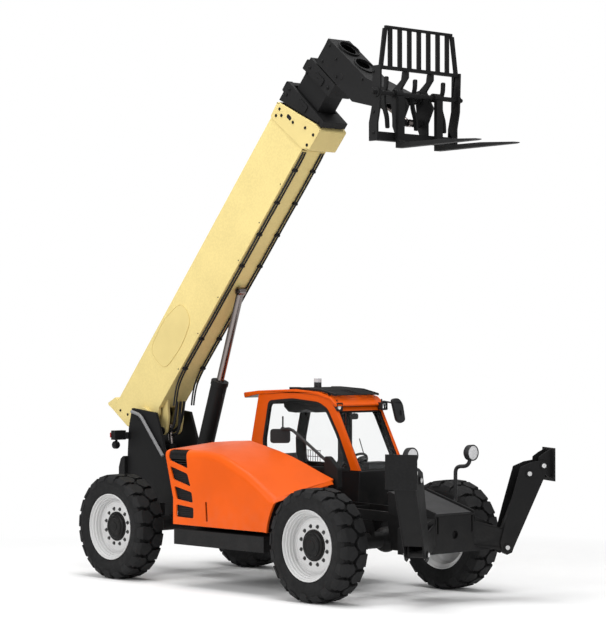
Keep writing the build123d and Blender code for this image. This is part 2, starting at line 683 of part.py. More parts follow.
def work_lamps():
    """The two round lamps on stalks at the front."""
    lamps = []
    for side in (-1, 1):
        stalk = bent_tube(
            [(4300, side * 465, 1156), (4305, side * 468, 1480), (4500, side * 498, 1660)], 60, 17
        )
        head = rod((fwd(4462), side * 501, 1687), (fwd(4546), side * 501, 1687), 95)
        lamps.append(stalk + head)
    return Compound(children=lamps)


def rear_lamps():
    """The lamp boxes outside the towers, each with a round lamp beneath."""
    lamps = []
    for side in (-1, 1):
        box = block(-950, -862, side * 330, side * 630, 1672, 1810)
        box += block(-870, -800, side * FRAME_OUT_Y, side * 350, 1700, 1790)
        box += rod((fwd(-950), side * 560, 1616), (fwd(-880), side * 560, 1616), 57)
        box += block(-925, -905, side * 545, side * 575, 1620, 1680)
        lamps.append(box)
    return Compound(children=lamps)


def tower_tubes():
    """The bent guard tube outside each tower."""
    tubes = []
    for side in (-1, 1):
        y = side * (FRAME_OUT_Y + 22)
        tube = bent_tube([(-739, y, 2061), (-527, y, 2016), (-95, y, 1518)], 70, 18)
        for x, z in ((-700, 2050), (-170, 1604)):
            tube += cross_pin((x, z), side * FRAME_OUT_Y, y, 12)
        tubes.append(tube)
    return Compound(children=tubes)


def cab_glass():
    """The fixed panes, each against the inside of its wall."""
    y_in, y_out = CAB_IN_Y + CAB_WALL, CAB_OUT_Y - CAB_WALL
    right = side_plate([(1165, 1385), (2705, 1385), (2380, 2195), (1310, 2245)], y_in, y_in + 6)
    rear_left = side_plate([(995, 1385), (1705, 1385), (1705, 2250), (1110, 2250), (970, 1727)], y_out - 6, y_out)
    front = side_plate([(2783.2, 1389.8), (2443.8, 2179.8), (2436.4, 2176.6), (2775.8, 1386.6)], y_in + 20, y_out - 20)
    return Compound(children=[right, rear_left, front])


def door_glass():
    """The door's two panes."""
    upper = side_plate([(1838, 1388), (2712, 1388), (2394, 2160), (2290, 2203), (1838, 2238)], CAB_OUT_Y - 44, CAB_OUT_Y - 38)
    lower = side_plate([(1838, 908), (2682, 908), (2712, 1352), (1838, 1352)], CAB_OUT_Y - 44, CAB_OUT_Y - 38)
    return Compound(children=[upper, lower])


def roof_guard():
    """Bars over the roof, with room left for the beacon."""
    guard = block(1180, 1215, 372, 1108, 2388, 2412) + block(2500, 2535, 372, 1108, 2388, 2412)
    for i in range(13):
        y = 380 + i * 60
        if abs(y - 750) > 60:
            guard += block(1180, 2535, y - 8, y + 8, 2390, 2410)
    for y in (372, 1084):
        guard += block(1195, 1215, y, y + 24, 2365, 2390)
        guard += block(2240, 2265, y, y + 24, 2335, 2392)
    return guard


def seat():
    """The operator's seat on its base."""
    shape = block(1260, 1600, 610, 870, 865, 1150)
    shape += block(1190, 1690, 540, 940, 1150, 1270)
    return shape + side_plate([(1120, 1240), (1240, 1270), (1180, 1840), (1080, 1830)], 550, 930)


def controls():
    """The dash, the steering column and the wheel."""
    shape = side_plate([(2560, 865), (2735, 865), (2760, 1300), (2500, 1340)], 430, 1060)
    shape += rod((fwd(2560), 735, 1250), (fwd(2330), 735, 1450), 28)
    ring = Plane(origin=(fwd(2330), 735, 1450), z_dir=(-230, 0, 200)) * Torus(185, 16)
    spoke = Plane(origin=(fwd(2330), 735, 1450), z_dir=(-230, 0, 200)) * Box(30, 370, 16)
    return shape + ring + spoke


def beacon():
    """The round lamp on the roof."""
    return rod((fwd(1657), 750, 2392), (fwd(1657), 750, 2511), 48)


def cab_mirror():
    """The mirror on its arm at the cab's front corner."""
    arm = bent_tube([(2390, CAB_OUT_Y + 12.5, 2264), (2405, 1235, 2275), (2705, 1260, 2262)], 40, 12)
    return arm + block(2690, 2720, 1170, 1340, 1965, 2283)


def tail_mirror():
    """The mirror and lamp on an arm behind the hood's front."""
    return block(3200, 3220, -700, -520, 1560, 1800)


# Cylinders by name: base, tip, barrel length, how far it closes from rest, barrel and rod radii,
# then the base eye's radius, half width and bore, then the same of the rod's eye
CYLINDERS = {
    "lift": (LIFT_BASE, LIFT_EYE, 1700, 1117, 105, 48, 72, 88, 48, 52, 53, 30),
    "level": (LEVEL_BASE, LEVEL_EYE, 640, 119, 55, 30, 52, 50, 34, 42, 32, 26),
    "tilt": (TILT_BASE, TILT_EYE, 690, 228, 60, 34, 56, 55, 36, 46, 32, 28),
}


def cylinder_parts(name):
    """(barrel, rod) of one of the boom's cylinders."""
    base, tip, length, closes, radius, rod_r, eye_r, eye_half, bore, tip_r, tip_half, tip_bore = CYLINDERS[name]
    outer = barrel(base, tip, length, radius, rod_r + 2, eye_r, eye_half, bore)
    inner_end = eye_r + BARREL_END + closes + ROD_GAP
    return outer, piston_rod(base, tip, inner_end, rod_r, tip_r, tip_half, tip_bore)


# All the nodes --------------------------------------------------------------------------------

def wheels():
    """Axles, knuckles, rims and tyres for both ends."""
    nodes = {}
    for end, x in (("front", WHEELBASE), ("rear", 0.0)):
        nodes[f"{end}_axle"] = axle(x)
        for name, side in (("left", 1), ("right", -1)):
            nodes[f"knuckle_{end}_{name}"] = knuckle(x, side)
            nodes[f"rim_{end}_{name}"] = rim(x, side)
            nodes[f"tyre_{end}_{name}"] = tyre(x, side)
    return nodes


def outriggers():
    """Both legs with their feet and cylinders."""
    nodes = {}
    made = {
        "outrigger": outrigger_leg(), "foot": outrigger_foot(), "outrigger_barrel": outrigger_barrel(),
        "outrigger_rod": outrigger_rod(),
    }
    for name, shape in made.items():
        nodes[f"{name}_left"] = shape
        nodes[f"{name}_right"] = mirrored(shape)
    return nodes


def boom():
    """The boom's sections, its cylinders and the fork carriage."""
    nodes = {
        "boom_base": boom_base(),
        "boom_second": boom_section("second", SECOND_COLLAR, 200),
        "boom_third": boom_section("third", THIRD_COLLAR, 172),
        "boom_fly": boom_fly(),
        "boom_head": boom_head(),
        "carriage": carriage(),
        "fork_shaft": fork_shaft(),
        "fork_left": fork(FORK_Y["left"]),
        "fork_right": fork(FORK_Y["right"]),
    }
    for name in CYLINDERS:
        nodes[f"{name}_barrel"], nodes[f"{name}_rod"] = cylinder_parts(name)
    return nodes


def body():
    """The chassis, the cab and the hood."""
    return {
        "main_frame": main_frame(),
        "counterweight": counterweight(),
        "front_frame": front_frame(),
        "engine_block": engine_block(),
        "fuel_tank": side_tank(-1),
        "oil_tank": side_tank(1),
        "cab_steps": cab_steps(),
        "work_lamps": work_lamps(),
        "rear_lamps": rear_lamps(),
        "tower_tubes": tower_tubes(),
        "cab_shell": cab_shell(),
        "cab_glass": cab_glass(),
        "cab_door": cab_door(),
        "cab_door_glass": door_glass(),
        "roof_guard": roof_guard(),
        "seat": seat(),
        "controls": controls(),
        "beacon": beacon(),
        "cab_mirror": cab_mirror(),
        "hood": hood(),
        "hood_grilles": hood_grilles(),
    }


for node, shape in {**wheels(), **outriggers(), **boom(), **body()}.items():
    export_step(shape, f"parts/{node}.step")
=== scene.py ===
"""Telehandler: finishes, fittings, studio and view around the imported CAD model.

Lengths are metres in the machine's own frame: +X is forward, +Y is the machine's left, +Z is up
and the ground is at z = 0. Places are distances from the rear axle and from the boom's pivot,
which are named below. Outlines are in millimetres.
"""
import logging
import math
from collections.abc import Iterable, Sequence
from dataclasses import dataclass
from enum import Enum

import bmesh
import bpy
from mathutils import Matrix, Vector
from mathutils.geometry import tessellate_polygon


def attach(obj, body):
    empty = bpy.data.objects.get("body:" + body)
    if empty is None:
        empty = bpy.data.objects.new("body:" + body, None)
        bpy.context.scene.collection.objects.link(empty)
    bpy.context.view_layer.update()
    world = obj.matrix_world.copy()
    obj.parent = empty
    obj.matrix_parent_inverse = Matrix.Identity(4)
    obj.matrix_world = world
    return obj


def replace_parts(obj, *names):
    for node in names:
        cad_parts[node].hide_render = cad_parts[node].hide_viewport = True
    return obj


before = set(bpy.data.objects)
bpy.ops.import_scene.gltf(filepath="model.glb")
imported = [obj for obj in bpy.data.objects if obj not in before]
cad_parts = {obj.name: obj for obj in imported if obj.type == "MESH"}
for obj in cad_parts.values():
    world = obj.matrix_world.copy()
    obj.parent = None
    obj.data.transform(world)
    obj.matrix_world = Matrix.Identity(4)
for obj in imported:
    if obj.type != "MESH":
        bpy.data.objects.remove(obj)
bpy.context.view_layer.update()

log = logging.getLogger("telehandler")
Colour = tuple[float, float, float]
Point = tuple[float, float, float]
Outline = Sequence[tuple[float, float]]
MM = 0.001
AHEAD = Vector((1.0, 0.0, 0.0))
UP = Vector((0.0, 0.0, 1.0))

REAR_AXLE_X = -2.116
WHEELBASE = 3.626
AXLE_Z = 0.655
HALF_TRACK = 1.094
BOOM_PIVOT = Vector((REAR_AXLE_X - 0.600, 0.0, 2.000))
BOOM_ANGLE = math.radians(49.4)
SIDES = {"left": 1.0, "right": -1.0}
ENDS = ("front", "rear")


class Slot(Enum):
    """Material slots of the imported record."""

    ORANGE = "orange_paint"
    CREAM = "cream_paint"
    BLACK = "black_paint"
    SILVER = "silver_paint"
    RUBBER = "rubber_tyre"
    CHROME = "chrome_rod"
    PANE = "pane"
    LAMP = "lamp_plastic"
    VINYL = "vinyl"
    STEEL = "bare_steel"


def along(u: float, v: float, y: float = 0.0) -> Vector:
    """The point u along the parked boom and v across it, at a distance y to the left.

    Args:
        u: metres from the boom's pivot towards its head.
        v: metres across the boom, towards its back.
        y: metres to the machine's left.

    Returns:
        The point in the machine's frame.
    """
    run = Vector((math.cos(BOOM_ANGLE), 0.0, math.sin(BOOM_ANGLE)))
    rise = Vector((-math.sin(BOOM_ANGLE), 0.0, math.cos(BOOM_ANGLE)))
    return BOOM_PIVOT + run * u + rise * v + Vector((0.0, y, 0.0))


def fwd(x: float) -> float:
    """The frame's X of a place x metres ahead of the rear axle."""
    return REAR_AXLE_X + x


def at(x: float, y: float, z: float) -> Vector:
    """A point given by its distance ahead of the rear axle, to the left and up."""
    return Vector((fwd(x), y, z))


def mm(x: float, y: float, z: float) -> Vector:
    """A point given like at's, in millimetres."""
    return at(x * MM, y * MM, z * MM)


def spoke(turn: float, radius: float = 1.0) -> Vector:
    """A point of a circle across the machine's Y axis, turned from straight up."""
    return Vector((math.sin(turn), 0.0, math.cos(turn))) * radius


def drum(radius: float, length: float) -> list[tuple[float, float]]:
    """The profile of a plain round bar, closed at both ends."""
    return [(0.0, 0.0), (0.0, radius), (length, radius), (length, 0.0)]


# ---------------------------------------------------------------- finishes


class Graph:
    """A material's node tree, with short calls for the nodes that finishes share."""

    def __init__(self, name: str) -> None:
        """Starts an empty tree with an output and the object's own coordinates."""
        self.material = bpy.data.materials.new(name)
        self.material.use_nodes = True
        self.tree = self.material.node_tree
        self.tree.nodes.clear()
        self.output = self.add("ShaderNodeOutputMaterial")
        self.place = self.add("ShaderNodeTexCoord").outputs["Object"]

    def add(self, kind: str, inputs: dict | None = None, **settings) -> bpy.types.Node:
        """Adds a node.

        Args:
            kind: the node's type.
            inputs: values or output sockets, by input name or number.
            settings: the node's own properties.

        Returns:
            The node.
        """
        node = self.tree.nodes.new(kind)
        for key, value in settings.items():
            setattr(node, key, value)
        for key, value in (inputs or {}).items():
            if isinstance(value, bpy.types.NodeSocket):
                self.tree.links.new(value, node.inputs[key])
            else:
                node.inputs[key].default_value = value
        return node

    def stretched(self, scale: Point) -> bpy.types.NodeSocket:
        """The object's coordinates, scaled unevenly for grain with a direction."""
        return self.add("ShaderNodeMapping", {"Vector": self.place, "Scale": scale}).outputs[0]

    def noise(self, scale: float, detail: float = 3.0, place: bpy.types.NodeSocket | None = None):
        """A noise between 0 and 1 at a scale in cells a metre."""
        inputs = {"Vector": place or self.place, "Scale": scale, "Detail": detail}
        return self.add("ShaderNodeTexNoise", inputs).outputs["Fac"]

    def remap(self, value, low: float, high: float, to_low: float, to_high: float):
        """Maps a value's range low..high onto to_low..to_high and clamps it."""
        inputs = {0: value, 1: low, 2: high, 3: to_low, 4: to_high}
        return self.add("ShaderNodeMapRange", inputs).outputs[0]

    def maths(self, operation: str, first, second):
        """One sum of two values, such as MULTIPLY."""
        return self.add("ShaderNodeMath", {0: first, 1: second}, operation=operation).outputs[0]

    def blend(self, factor, first, second):
        """A colour between two others."""
        inputs = {0: factor, 6: _rgba(first), 7: _rgba(second)}
        return self.add("ShaderNodeMix", inputs, data_type="RGBA").outputs[2]

    def bump(self, height, depth: float, normal=None):
        """A normal bumped by a height between 0 and 1, of a depth in metres."""
        inputs = {"Height": height, "Strength": 1.0, "Distance": depth}
        if normal is not None:
            inputs["Normal"] = normal
        return self.add("ShaderNodeBump", inputs).outputs[0]

    def close(self, shader: bpy.types.Node) -> bpy.types.Material:
        """Joins the shader to the output and gives back the material."""
        self.tree.links.new(shader.outputs[0], self.output.inputs[0])
        return self.material


def _rgba(colour):
    """A colour with its alpha, or the socket that it comes from."""
    return (*colour, 1.0) if isinstance(colour, tuple) else colour


def shade(colour: Colour, factor: float) -> Colour:
    """A colour, lighter or darker by a factor, and never over 1."""
    return tuple(min(1.0, c * factor) for c in colour)


@dataclass(frozen=True)
class Finish:
    """A finish with a name, a colour and the slot that it belongs to."""

    name: str
    colour: Colour
    slot: Slot

    def material(self) -> bpy.types.Material:
        """The finish's material, made once."""
        return bpy.data.materials.get(self.name) or self.build(Graph(self.name))

    def build(self, graph: Graph) -> bpy.types.Material:
        """Builds the node tree. Each kind of finish has its own."""
        raise NotImplementedError


@dataclass(frozen=True)
class Paint(Finish):
    """Sprayed paint with a faint orange peel, tone clouds, edges lightened for wear and as a painted
    highlight, and dust low down.
    """

    roughness: float = 0.32
    coat: float = 0.35
    gloss: float = 0.12
    sheen: float = 0.0
    peel: float = 0.00012
    peel_scale: float = 160.0
    clouds: float = 0.05
    # The two fields below set the strength and colour of the lightened convex edges, partly wear and partly
    # a painted highlight.
    wear: float = 0.25
    edge_wear_highlight: Colour | None = None
    dust: float = 0.10

    def colours(self, graph: Graph):
        """The light and the dark tone that the clouds run between."""
        return shade(self.colour, 1 + self.clouds), shade(self.colour, 1 - self.clouds)

    def build(self, graph: Graph) -> bpy.types.Material:
        """Layers clouds, lightened edges (wear and a painted highlight) and dust over the paint's colour.
        """
        cloud = graph.noise(1.7, 5.0)
        light, dark = self.colours(graph)
        tone = graph.blend(graph.remap(cloud, 0.35, 0.65, 0.0, 1.0), dark, light)
        # Convex edges are lightened and speckled: partly wear, partly a painted highlight.
        edge = graph.add("ShaderNodeNewGeometry").outputs["Pointiness"]
        speckle = graph.noise(38.0, 6.0)
        edge = graph.remap(edge, 0.53, 0.60, 0.0, self.wear)
        edge = graph.maths("MULTIPLY", edge, graph.remap(speckle, 0.42, 0.62, 0.2, 1.0))
        tone = graph.blend(edge, tone, self.edge_wear_highlight or shade(self.colour, 1.6))
        height = graph.add("ShaderNodeSeparateXYZ", {0: graph.place}).outputs[2]
        low = graph.remap(height, 0.25, 1.3, self.dust, 0.0)
        low = graph.maths("MULTIPLY", low, graph.remap(graph.noise(9.0, 7.0), 0.4, 0.7, 0.1, 1.0))
        tone = graph.blend(low, tone, (0.34, 0.30, 0.25))
        rough = graph.remap(graph.noise(6.0, 6.0), 0.3, 0.7, self.roughness - 0.05, self.roughness + 0.07)
        normal = graph.bump(graph.noise(self.peel_scale, 2.0), self.peel)
        normal = graph.bump(graph.noise(5.0, 2.0), self.peel * 6, normal)
        inputs = {"Base Color": tone, "Roughness": rough, "Normal": normal, "Coat Weight": self.coat}
        shader = graph.add("ShaderNodeBsdfPrincipled", inputs)
        shader.inputs["Coat Roughness"].default_value = 0.12
        shader.inputs["Specular IOR Level"].default_value = self.gloss
        shader.inputs["Sheen Weight"].default_value = self.sheen
        shader.inputs["Sheen Roughness"].default_value = 0.3
        return graph.close(shader)


@dataclass(frozen=True)
class TwoTone(Paint):
    """Paint that is another colour below a height, and also on faces turned towards a middle, where that
    dark colour is painted shade.
    """

    # under is the real lower colour, and where a middle is given it is also the painted shade on inward
    # faces.
    under: Colour = (0.009, 0.009, 0.0095)
    split: float = 1.412
    # Faces turned towards this point take the dark under colour as painted shade.
    middle: Point | None = None

    def colours(self, graph: Graph):
        """Splits the two colours by height and, round a middle, by which way a face looks, the second as
        painted shade.
        """
        height = graph.add("ShaderNodeSeparateXYZ", {0: graph.place}).outputs[2]
        lower = graph.maths("LESS_THAN", height, self.split)
        # Faces turned towards the middle are darkened as painted shade for the dim inside.
        if self.middle:
            towards_shaded_middle = graph.add("ShaderNodeVectorMath", {0: self.middle, 1: graph.place},
                               operation="SUBTRACT")
            normal = graph.add("ShaderNodeTexCoord").outputs["Normal"]
            faces_shaded_inside = graph.add("ShaderNodeVectorMath", {0: towards_shaded_middle.outputs[0], 1: normal},
                               operation="DOT_PRODUCT")
            lower = graph.maths("MAXIMUM", lower, graph.maths("GREATER_THAN", faces_shaded_inside.outputs["Value"], 0.1))
        light = graph.blend(lower, shade(self.colour, 1 + self.clouds), shade(self.under, 1.15))
        return light, graph.blend(lower, shade(self.colour, 1 - self.clouds), shade(self.under, 0.9))


@dataclass(frozen=True)
class Rubber(Finish):
    """Moulded rubber: fine pores, a grey bloom, and high spots lightened as scuffs and as a painted
    highlight.
    """

    roughness: float = 0.66
    grain: float = 0.0006
    bloom: float = 0.35

    def build(self, graph: Graph) -> bpy.types.Material:
        """Mixes the bloom into the black, lightens the edges as scuffs and painted highlight, and bumps the
        pores.
        """
        bloom = graph.remap(graph.noise(7.0, 7.0), 0.42, 0.7, 0.0, self.bloom)
        tone = graph.blend(bloom, self.colour, shade(self.colour, 2.2))
        # Convex edges are lightened: partly scuffing, partly a painted highlight.
        edge = graph.add("ShaderNodeNewGeometry").outputs["Pointiness"]
        tone = graph.blend(graph.remap(edge, 0.52, 0.62, 0.0, 0.6), tone, shade(self.colour, 2.8))
        rough = graph.remap(graph.noise(22.0, 4.0), 0.3, 0.7, self.roughness - 0.08, self.roughness + 0.12)
        normal = graph.bump(graph.noise(260.0, 4.0), self.grain)
        normal = graph.bump(graph.noise(30.0, 3.0), self.grain * 2.5, normal)
        inputs = {"Base Color": tone, "Roughness": rough, "Normal": normal}
        shader = graph.add("ShaderNodeBsdfPrincipled", inputs)
        shader.inputs["Specular IOR Level"].default_value = 0.15
        return graph.close(shader)


@dataclass(frozen=True)
class Metal(Finish):
    """Bare or plated metal with fine lines of grinding along one axis."""

    roughness: float = 0.2
    lines: Point = (4.0, 4.0, 90.0)
    stain: float = 0.25

    def build(self, graph: Graph) -> bpy.types.Material:
        """Stretches noise into grinding lines and clouds the plating."""
        lines = graph.noise(12.0, 5.0, graph.stretched(self.lines))
        cloud = graph.remap(graph.noise(5.0, 6.0), 0.4, 0.7, 0.0, self.stain)
        tone = graph.blend(cloud, self.colour, shade(self.colour, 0.62))
        rough = graph.remap(lines, 0.3, 0.7, self.roughness * 0.7, self.roughness * 1.5)
        normal = graph.bump(lines, 0.00006)
        inputs = {"Base Color": tone, "Metallic": 1.0, "Roughness": rough, "Normal": normal}
        return graph.close(graph.add("ShaderNodeBsdfPrincipled", inputs))


@dataclass(frozen=True)
class Plastic(Finish):
    """Moulded plastic or vinyl with a pebbled grain."""

    roughness: float = 0.5
    pebble_scale: float = 420.0
    pebble: float = 0.0002

    def build(self, graph: Graph) -> bpy.types.Material:
        """Pebbles the surface with cells and varies its gloss."""
        cells = graph.add("ShaderNodeTexVoronoi", {"Vector": graph.place, "Scale": self.pebble_scale})
        cloud = graph.noise(11.0, 4.0)
        tone = graph.blend(cloud, shade(self.colour, 0.88), shade(self.colour, 1.18))
        rough = graph.remap(cloud, 0.3, 0.7, self.roughness - 0.06, self.roughness + 0.08)
        normal = graph.bump(cells.outputs["Distance"], self.pebble)
        inputs = {"Base Color": tone, "Roughness": rough, "Normal": normal}
        shader = graph.add("ShaderNodeBsdfPrincipled", inputs)
        shader.inputs["Specular IOR Level"].default_value = 0.2
        return graph.close(shader)


@dataclass(frozen=True)
class Glass(Finish):
    """Clear or tinted glass, faintly smeared, that lets lamp light through."""

    roughness: float = 0.01

    def build(self, graph: Graph) -> bpy.types.Material:
        """Smears the gloss with noise, and passes shadow rays."""
        smear = graph.remap(graph.noise(4.0, 6.0), 0.4, 0.8, self.roughness, self.roughness + 0.04)
        tint = graph.blend(graph.noise(1.5, 2.0), shade(self.colour, 0.97), self.colour)
        inputs = {"Base Color": tint, "Roughness": smear, "Transmission Weight": 1.0, "IOR": 1.12}
        glass = graph.add("ShaderNodeBsdfPrincipled", inputs)
        clear = graph.add("ShaderNodeBsdfTransparent", {"Color": _rgba(self.colour)})
        shadow = graph.add("ShaderNodeLightPath").outputs["Is Shadow Ray"]
        inputs = {0: shadow, 1: glass.outputs[0], 2: clear.outputs[0]}
        return graph.close(graph.add("ShaderNodeMixShader", inputs))


ORANGE = Paint("finish_orange_paint", (0.680, 0.088, 0.0012), Slot.ORANGE, roughness=0.36, coat=0.0,
               sheen=0.3)
# The cab's paint: orange, black below the sills, and faces turned towards the cab's middle darkened as
# painted shade.
CAB_PAINT = TwoTone(
    "finish_cab_paint", (0.680, 0.088, 0.0012), Slot.ORANGE, roughness=0.36, coat=0.05,
    middle=(REAR_AXLE_X + 1.85, 0.735, 1.55), wear=0.0,
)
CREAM = Paint("finish_cream_paint", (0.650, 0.527, 0.222), Slot.CREAM, roughness=0.40, coat=0.05)
# BLACK's lighter edge colour is partly wear and partly a painted highlight.
BLACK = Paint(
    "finish_black_paint", (0.0080, 0.0080, 0.0083), Slot.BLACK, roughness=0.48, coat=0.0, peel=0.0002,
    peel_scale=240.0, edge_wear_highlight=(0.030, 0.030, 0.031), dust=0.02, gloss=0.14,
)
GREY = Paint("finish_grey_deck", (0.040, 0.040, 0.041), Slot.BLACK, roughness=0.6, coat=0.0, dust=0.05)
BEACON = TwoTone(
    "finish_beacon", (0.60, 0.60, 0.62), Slot.LAMP, roughness=0.2, under=(0.012, 0.012, 0.013), split=2.462
)
SILVER = Paint("finish_silver_paint", (0.56, 0.56, 0.56), Slot.SILVER, roughness=0.34, coat=0.1)
TUBE = Paint("finish_grey_tube", (0.20, 0.20, 0.205), Slot.SILVER, roughness=0.42, coat=0.0)
LAMP_WHITE = Paint("finish_lamp_white", (0.66, 0.66, 0.67), Slot.LAMP, roughness=0.25, coat=0.3, gloss=0.5,
                   wear=0.0)
TYRE = Rubber("finish_tyre_rubber", (0.0095, 0.0095, 0.0098), Slot.RUBBER)
HOSE = Rubber("finish_hose_rubber", (0.014, 0.014, 0.015), Slot.RUBBER, roughness=0.5, grain=0.0003)
CHROME = Metal("finish_chrome_rod", (0.24, 0.21, 0.20), Slot.CHROME, roughness=0.16, stain=0.2)
PANE = Glass("finish_cab_glass", (0.975, 0.98, 0.98), Slot.PANE)
LAMP_CASE = Plastic("finish_lamp_case", (0.020, 0.020, 0.021), Slot.LAMP, roughness=0.38)
STEEL_DARK = Metal("finish_dark_nuts", (0.10, 0.10, 0.10), Slot.STEEL, roughness=0.45, stain=0.5)
REFLECTOR = Metal("finish_reflector", (0.86, 0.87, 0.88), Slot.CHROME, roughness=0.14, stain=0.05)
RUBBER_TRIM = Rubber("finish_seal_rubber", (0.010, 0.010, 0.010), Slot.RUBBER, roughness=0.55, grain=0.0002)
RED = Plastic("finish_red_lens", (0.50, 0.015, 0.008), Slot.LAMP, roughness=0.25)
VINYL = Plastic("finish_seat_vinyl", (0.022, 0.023, 0.023), Slot.VINYL, roughness=0.55, pebble_scale=260.0)
TRIM = Plastic("finish_cab_trim", (0.030, 0.031, 0.032), Slot.VINYL, roughness=0.6)

DRESSING: dict[Finish, tuple[str, ...]] = {
    CREAM: ("boom_base",),
    BLACK: (
        "main_frame", "counterweight", "front_axle", "rear_axle", "fuel_tank", "oil_tank",
        "cab_steps", "hood_grilles", "boom_second", "boom_third", "boom_fly", "boom_head", "carriage",
        "engine_block", "lift_barrel", "level_barrel", "tilt_barrel", "outrigger_left", "outrigger_right",
        "foot_left", "foot_right", "outrigger_barrel_left", "outrigger_barrel_right",
        "fork_shaft", "fork_left", "fork_right",
        "knuckle_front_left", "knuckle_front_right", "knuckle_rear_left", "knuckle_rear_right",
    ),
    CHROME: ("lift_rod", "level_rod", "tilt_rod", "outrigger_rod_left", "outrigger_rod_right"),
    LAMP_CASE: ("controls",),
    BEACON: ("beacon",),
}
PLAIN_EDGES = ("controls",)


# ---------------------------------------------------------------- shared mesh work


def smooth_group() -> bpy.types.NodeTree:
    """A Geometry Nodes group that shades smooth, with edges over 32 degrees left sharp.

    Returns:
        The group, made once.
    """
    found = bpy.data.node_groups.get("shade_by_angle")
    if found:
        return found
    group = bpy.data.node_groups.new("shade_by_angle", "GeometryNodeTree")
    group.interface.new_socket("Geometry", in_out="INPUT", socket_type="NodeSocketGeometry")
    group.interface.new_socket("Geometry", in_out="OUTPUT", socket_type="NodeSocketGeometry")
    start, end = group.nodes.new("NodeGroupInput"), group.nodes.new("NodeGroupOutput")
    angle = group.nodes.new("GeometryNodeInputMeshEdgeAngle")
    test = group.nodes.new("FunctionNodeCompare")
    test.operation = "LESS_THAN"
    test.inputs[1].default_value = math.radians(32.0)
    faces, edges = (group.nodes.new("GeometryNodeSetShadeSmooth") for _ in range(2))
    edges.domain = "EDGE"
    link = group.links.new
    link(angle.outputs[0], test.inputs[0])
    link(start.outputs[0], faces.inputs[0])
    link(faces.outputs[0], edges.inputs[0])
    link(test.outputs[0], edges.inputs[2])
    link(edges.outputs[0], end.inputs[0])
    return group


def soften(piece: bpy.types.Object, width: float, merge: bool = False) -> None:
    """Rounds a piece's hard edges by modifiers and shades it.

    Args:
        piece: the piece, or a CAD node, whose own mesh stays as it is.
        width: width of the rounding in metres, or 0 for none.
        merge: whether to join split corners and flat triangles first.
    """
    if merge:
        weld = piece.modifiers.new("weld", "WELD")
        weld.merge_threshold = 0.00002
        flat = piece.modifiers.new("flat", "DECIMATE")
        flat.decimate_type = "DISSOLVE"
        flat.angle_limit = math.radians(0.4)
    if width:
        bevel = piece.modifiers.new("edge", "BEVEL")
        bevel.width = width
        bevel.segments = 2
        bevel.limit_method = "ANGLE"
        bevel.angle_limit = math.radians(38.0)
        bevel.use_clamp_overlap = False
    smooth = piece.modifiers.new("smooth", "NODES")
    smooth.node_group = smooth_group()
    normals = piece.modifiers.new("normals", "WEIGHTED_NORMAL")
    normals.keep_sharp = True


def rounded(points: Outline, radius: float, steps: int = 5) -> Outline:
    """An outline with its corners rounded.

    Args:
        points: the corners in order.
        radius: how far from a corner its rounding starts.
        steps: straight runs in each rounding.

    Returns:
        The new corners.
    """
    out = []
    for k, (x, y) in enumerate(points):
        corner = Vector((x, y))
        before, after = Vector(points[k - 1]), Vector(points[(k + 1) % len(points)])
        reach = min(radius, (before - corner).length * 0.45, (after - corner).length * 0.45)
        start = corner + (before - corner).normalized() * reach
        end = corner + (after - corner).normalized() * reach
        for n in range(steps + 1):
            t = n / steps
            out.append(tuple(start * (1 - t) ** 2 + corner * (2 * t * (1 - t)) + end * t ** 2))
    return out


def drawn_in(points: Outline, margin: float) -> Outline:
    """An outline with each side moved inwards, or outwards where the margin is negative.

    Args:
        points: the corners in order.
        margin: how far each side moves, in the outline's unit.

    Returns:
        The new corners.
    """
    area = sum(points[k - 1][0] * p[1] - p[0] * points[k - 1][1] for k, p in enumerate(points))
    turn = 1.0 if area > 0 else -1.0
    out = []
    for k, (x, y) in enumerate(points):
        before, after = Vector(points[k - 1]), Vector(points[(k + 1) % len(points)])
        first, second = (Vector((x, y)) - before).normalized(), (after - Vector((x, y))).normalized()
        one, two = Vector((-first.y, first.x)) * turn, Vector((-second.y, second.x)) * turn
        shift = (one + two) * (margin / max(0.3, 1.0 + one.dot(two)))
        out.append((x + shift.x, y + shift.y))
    return out


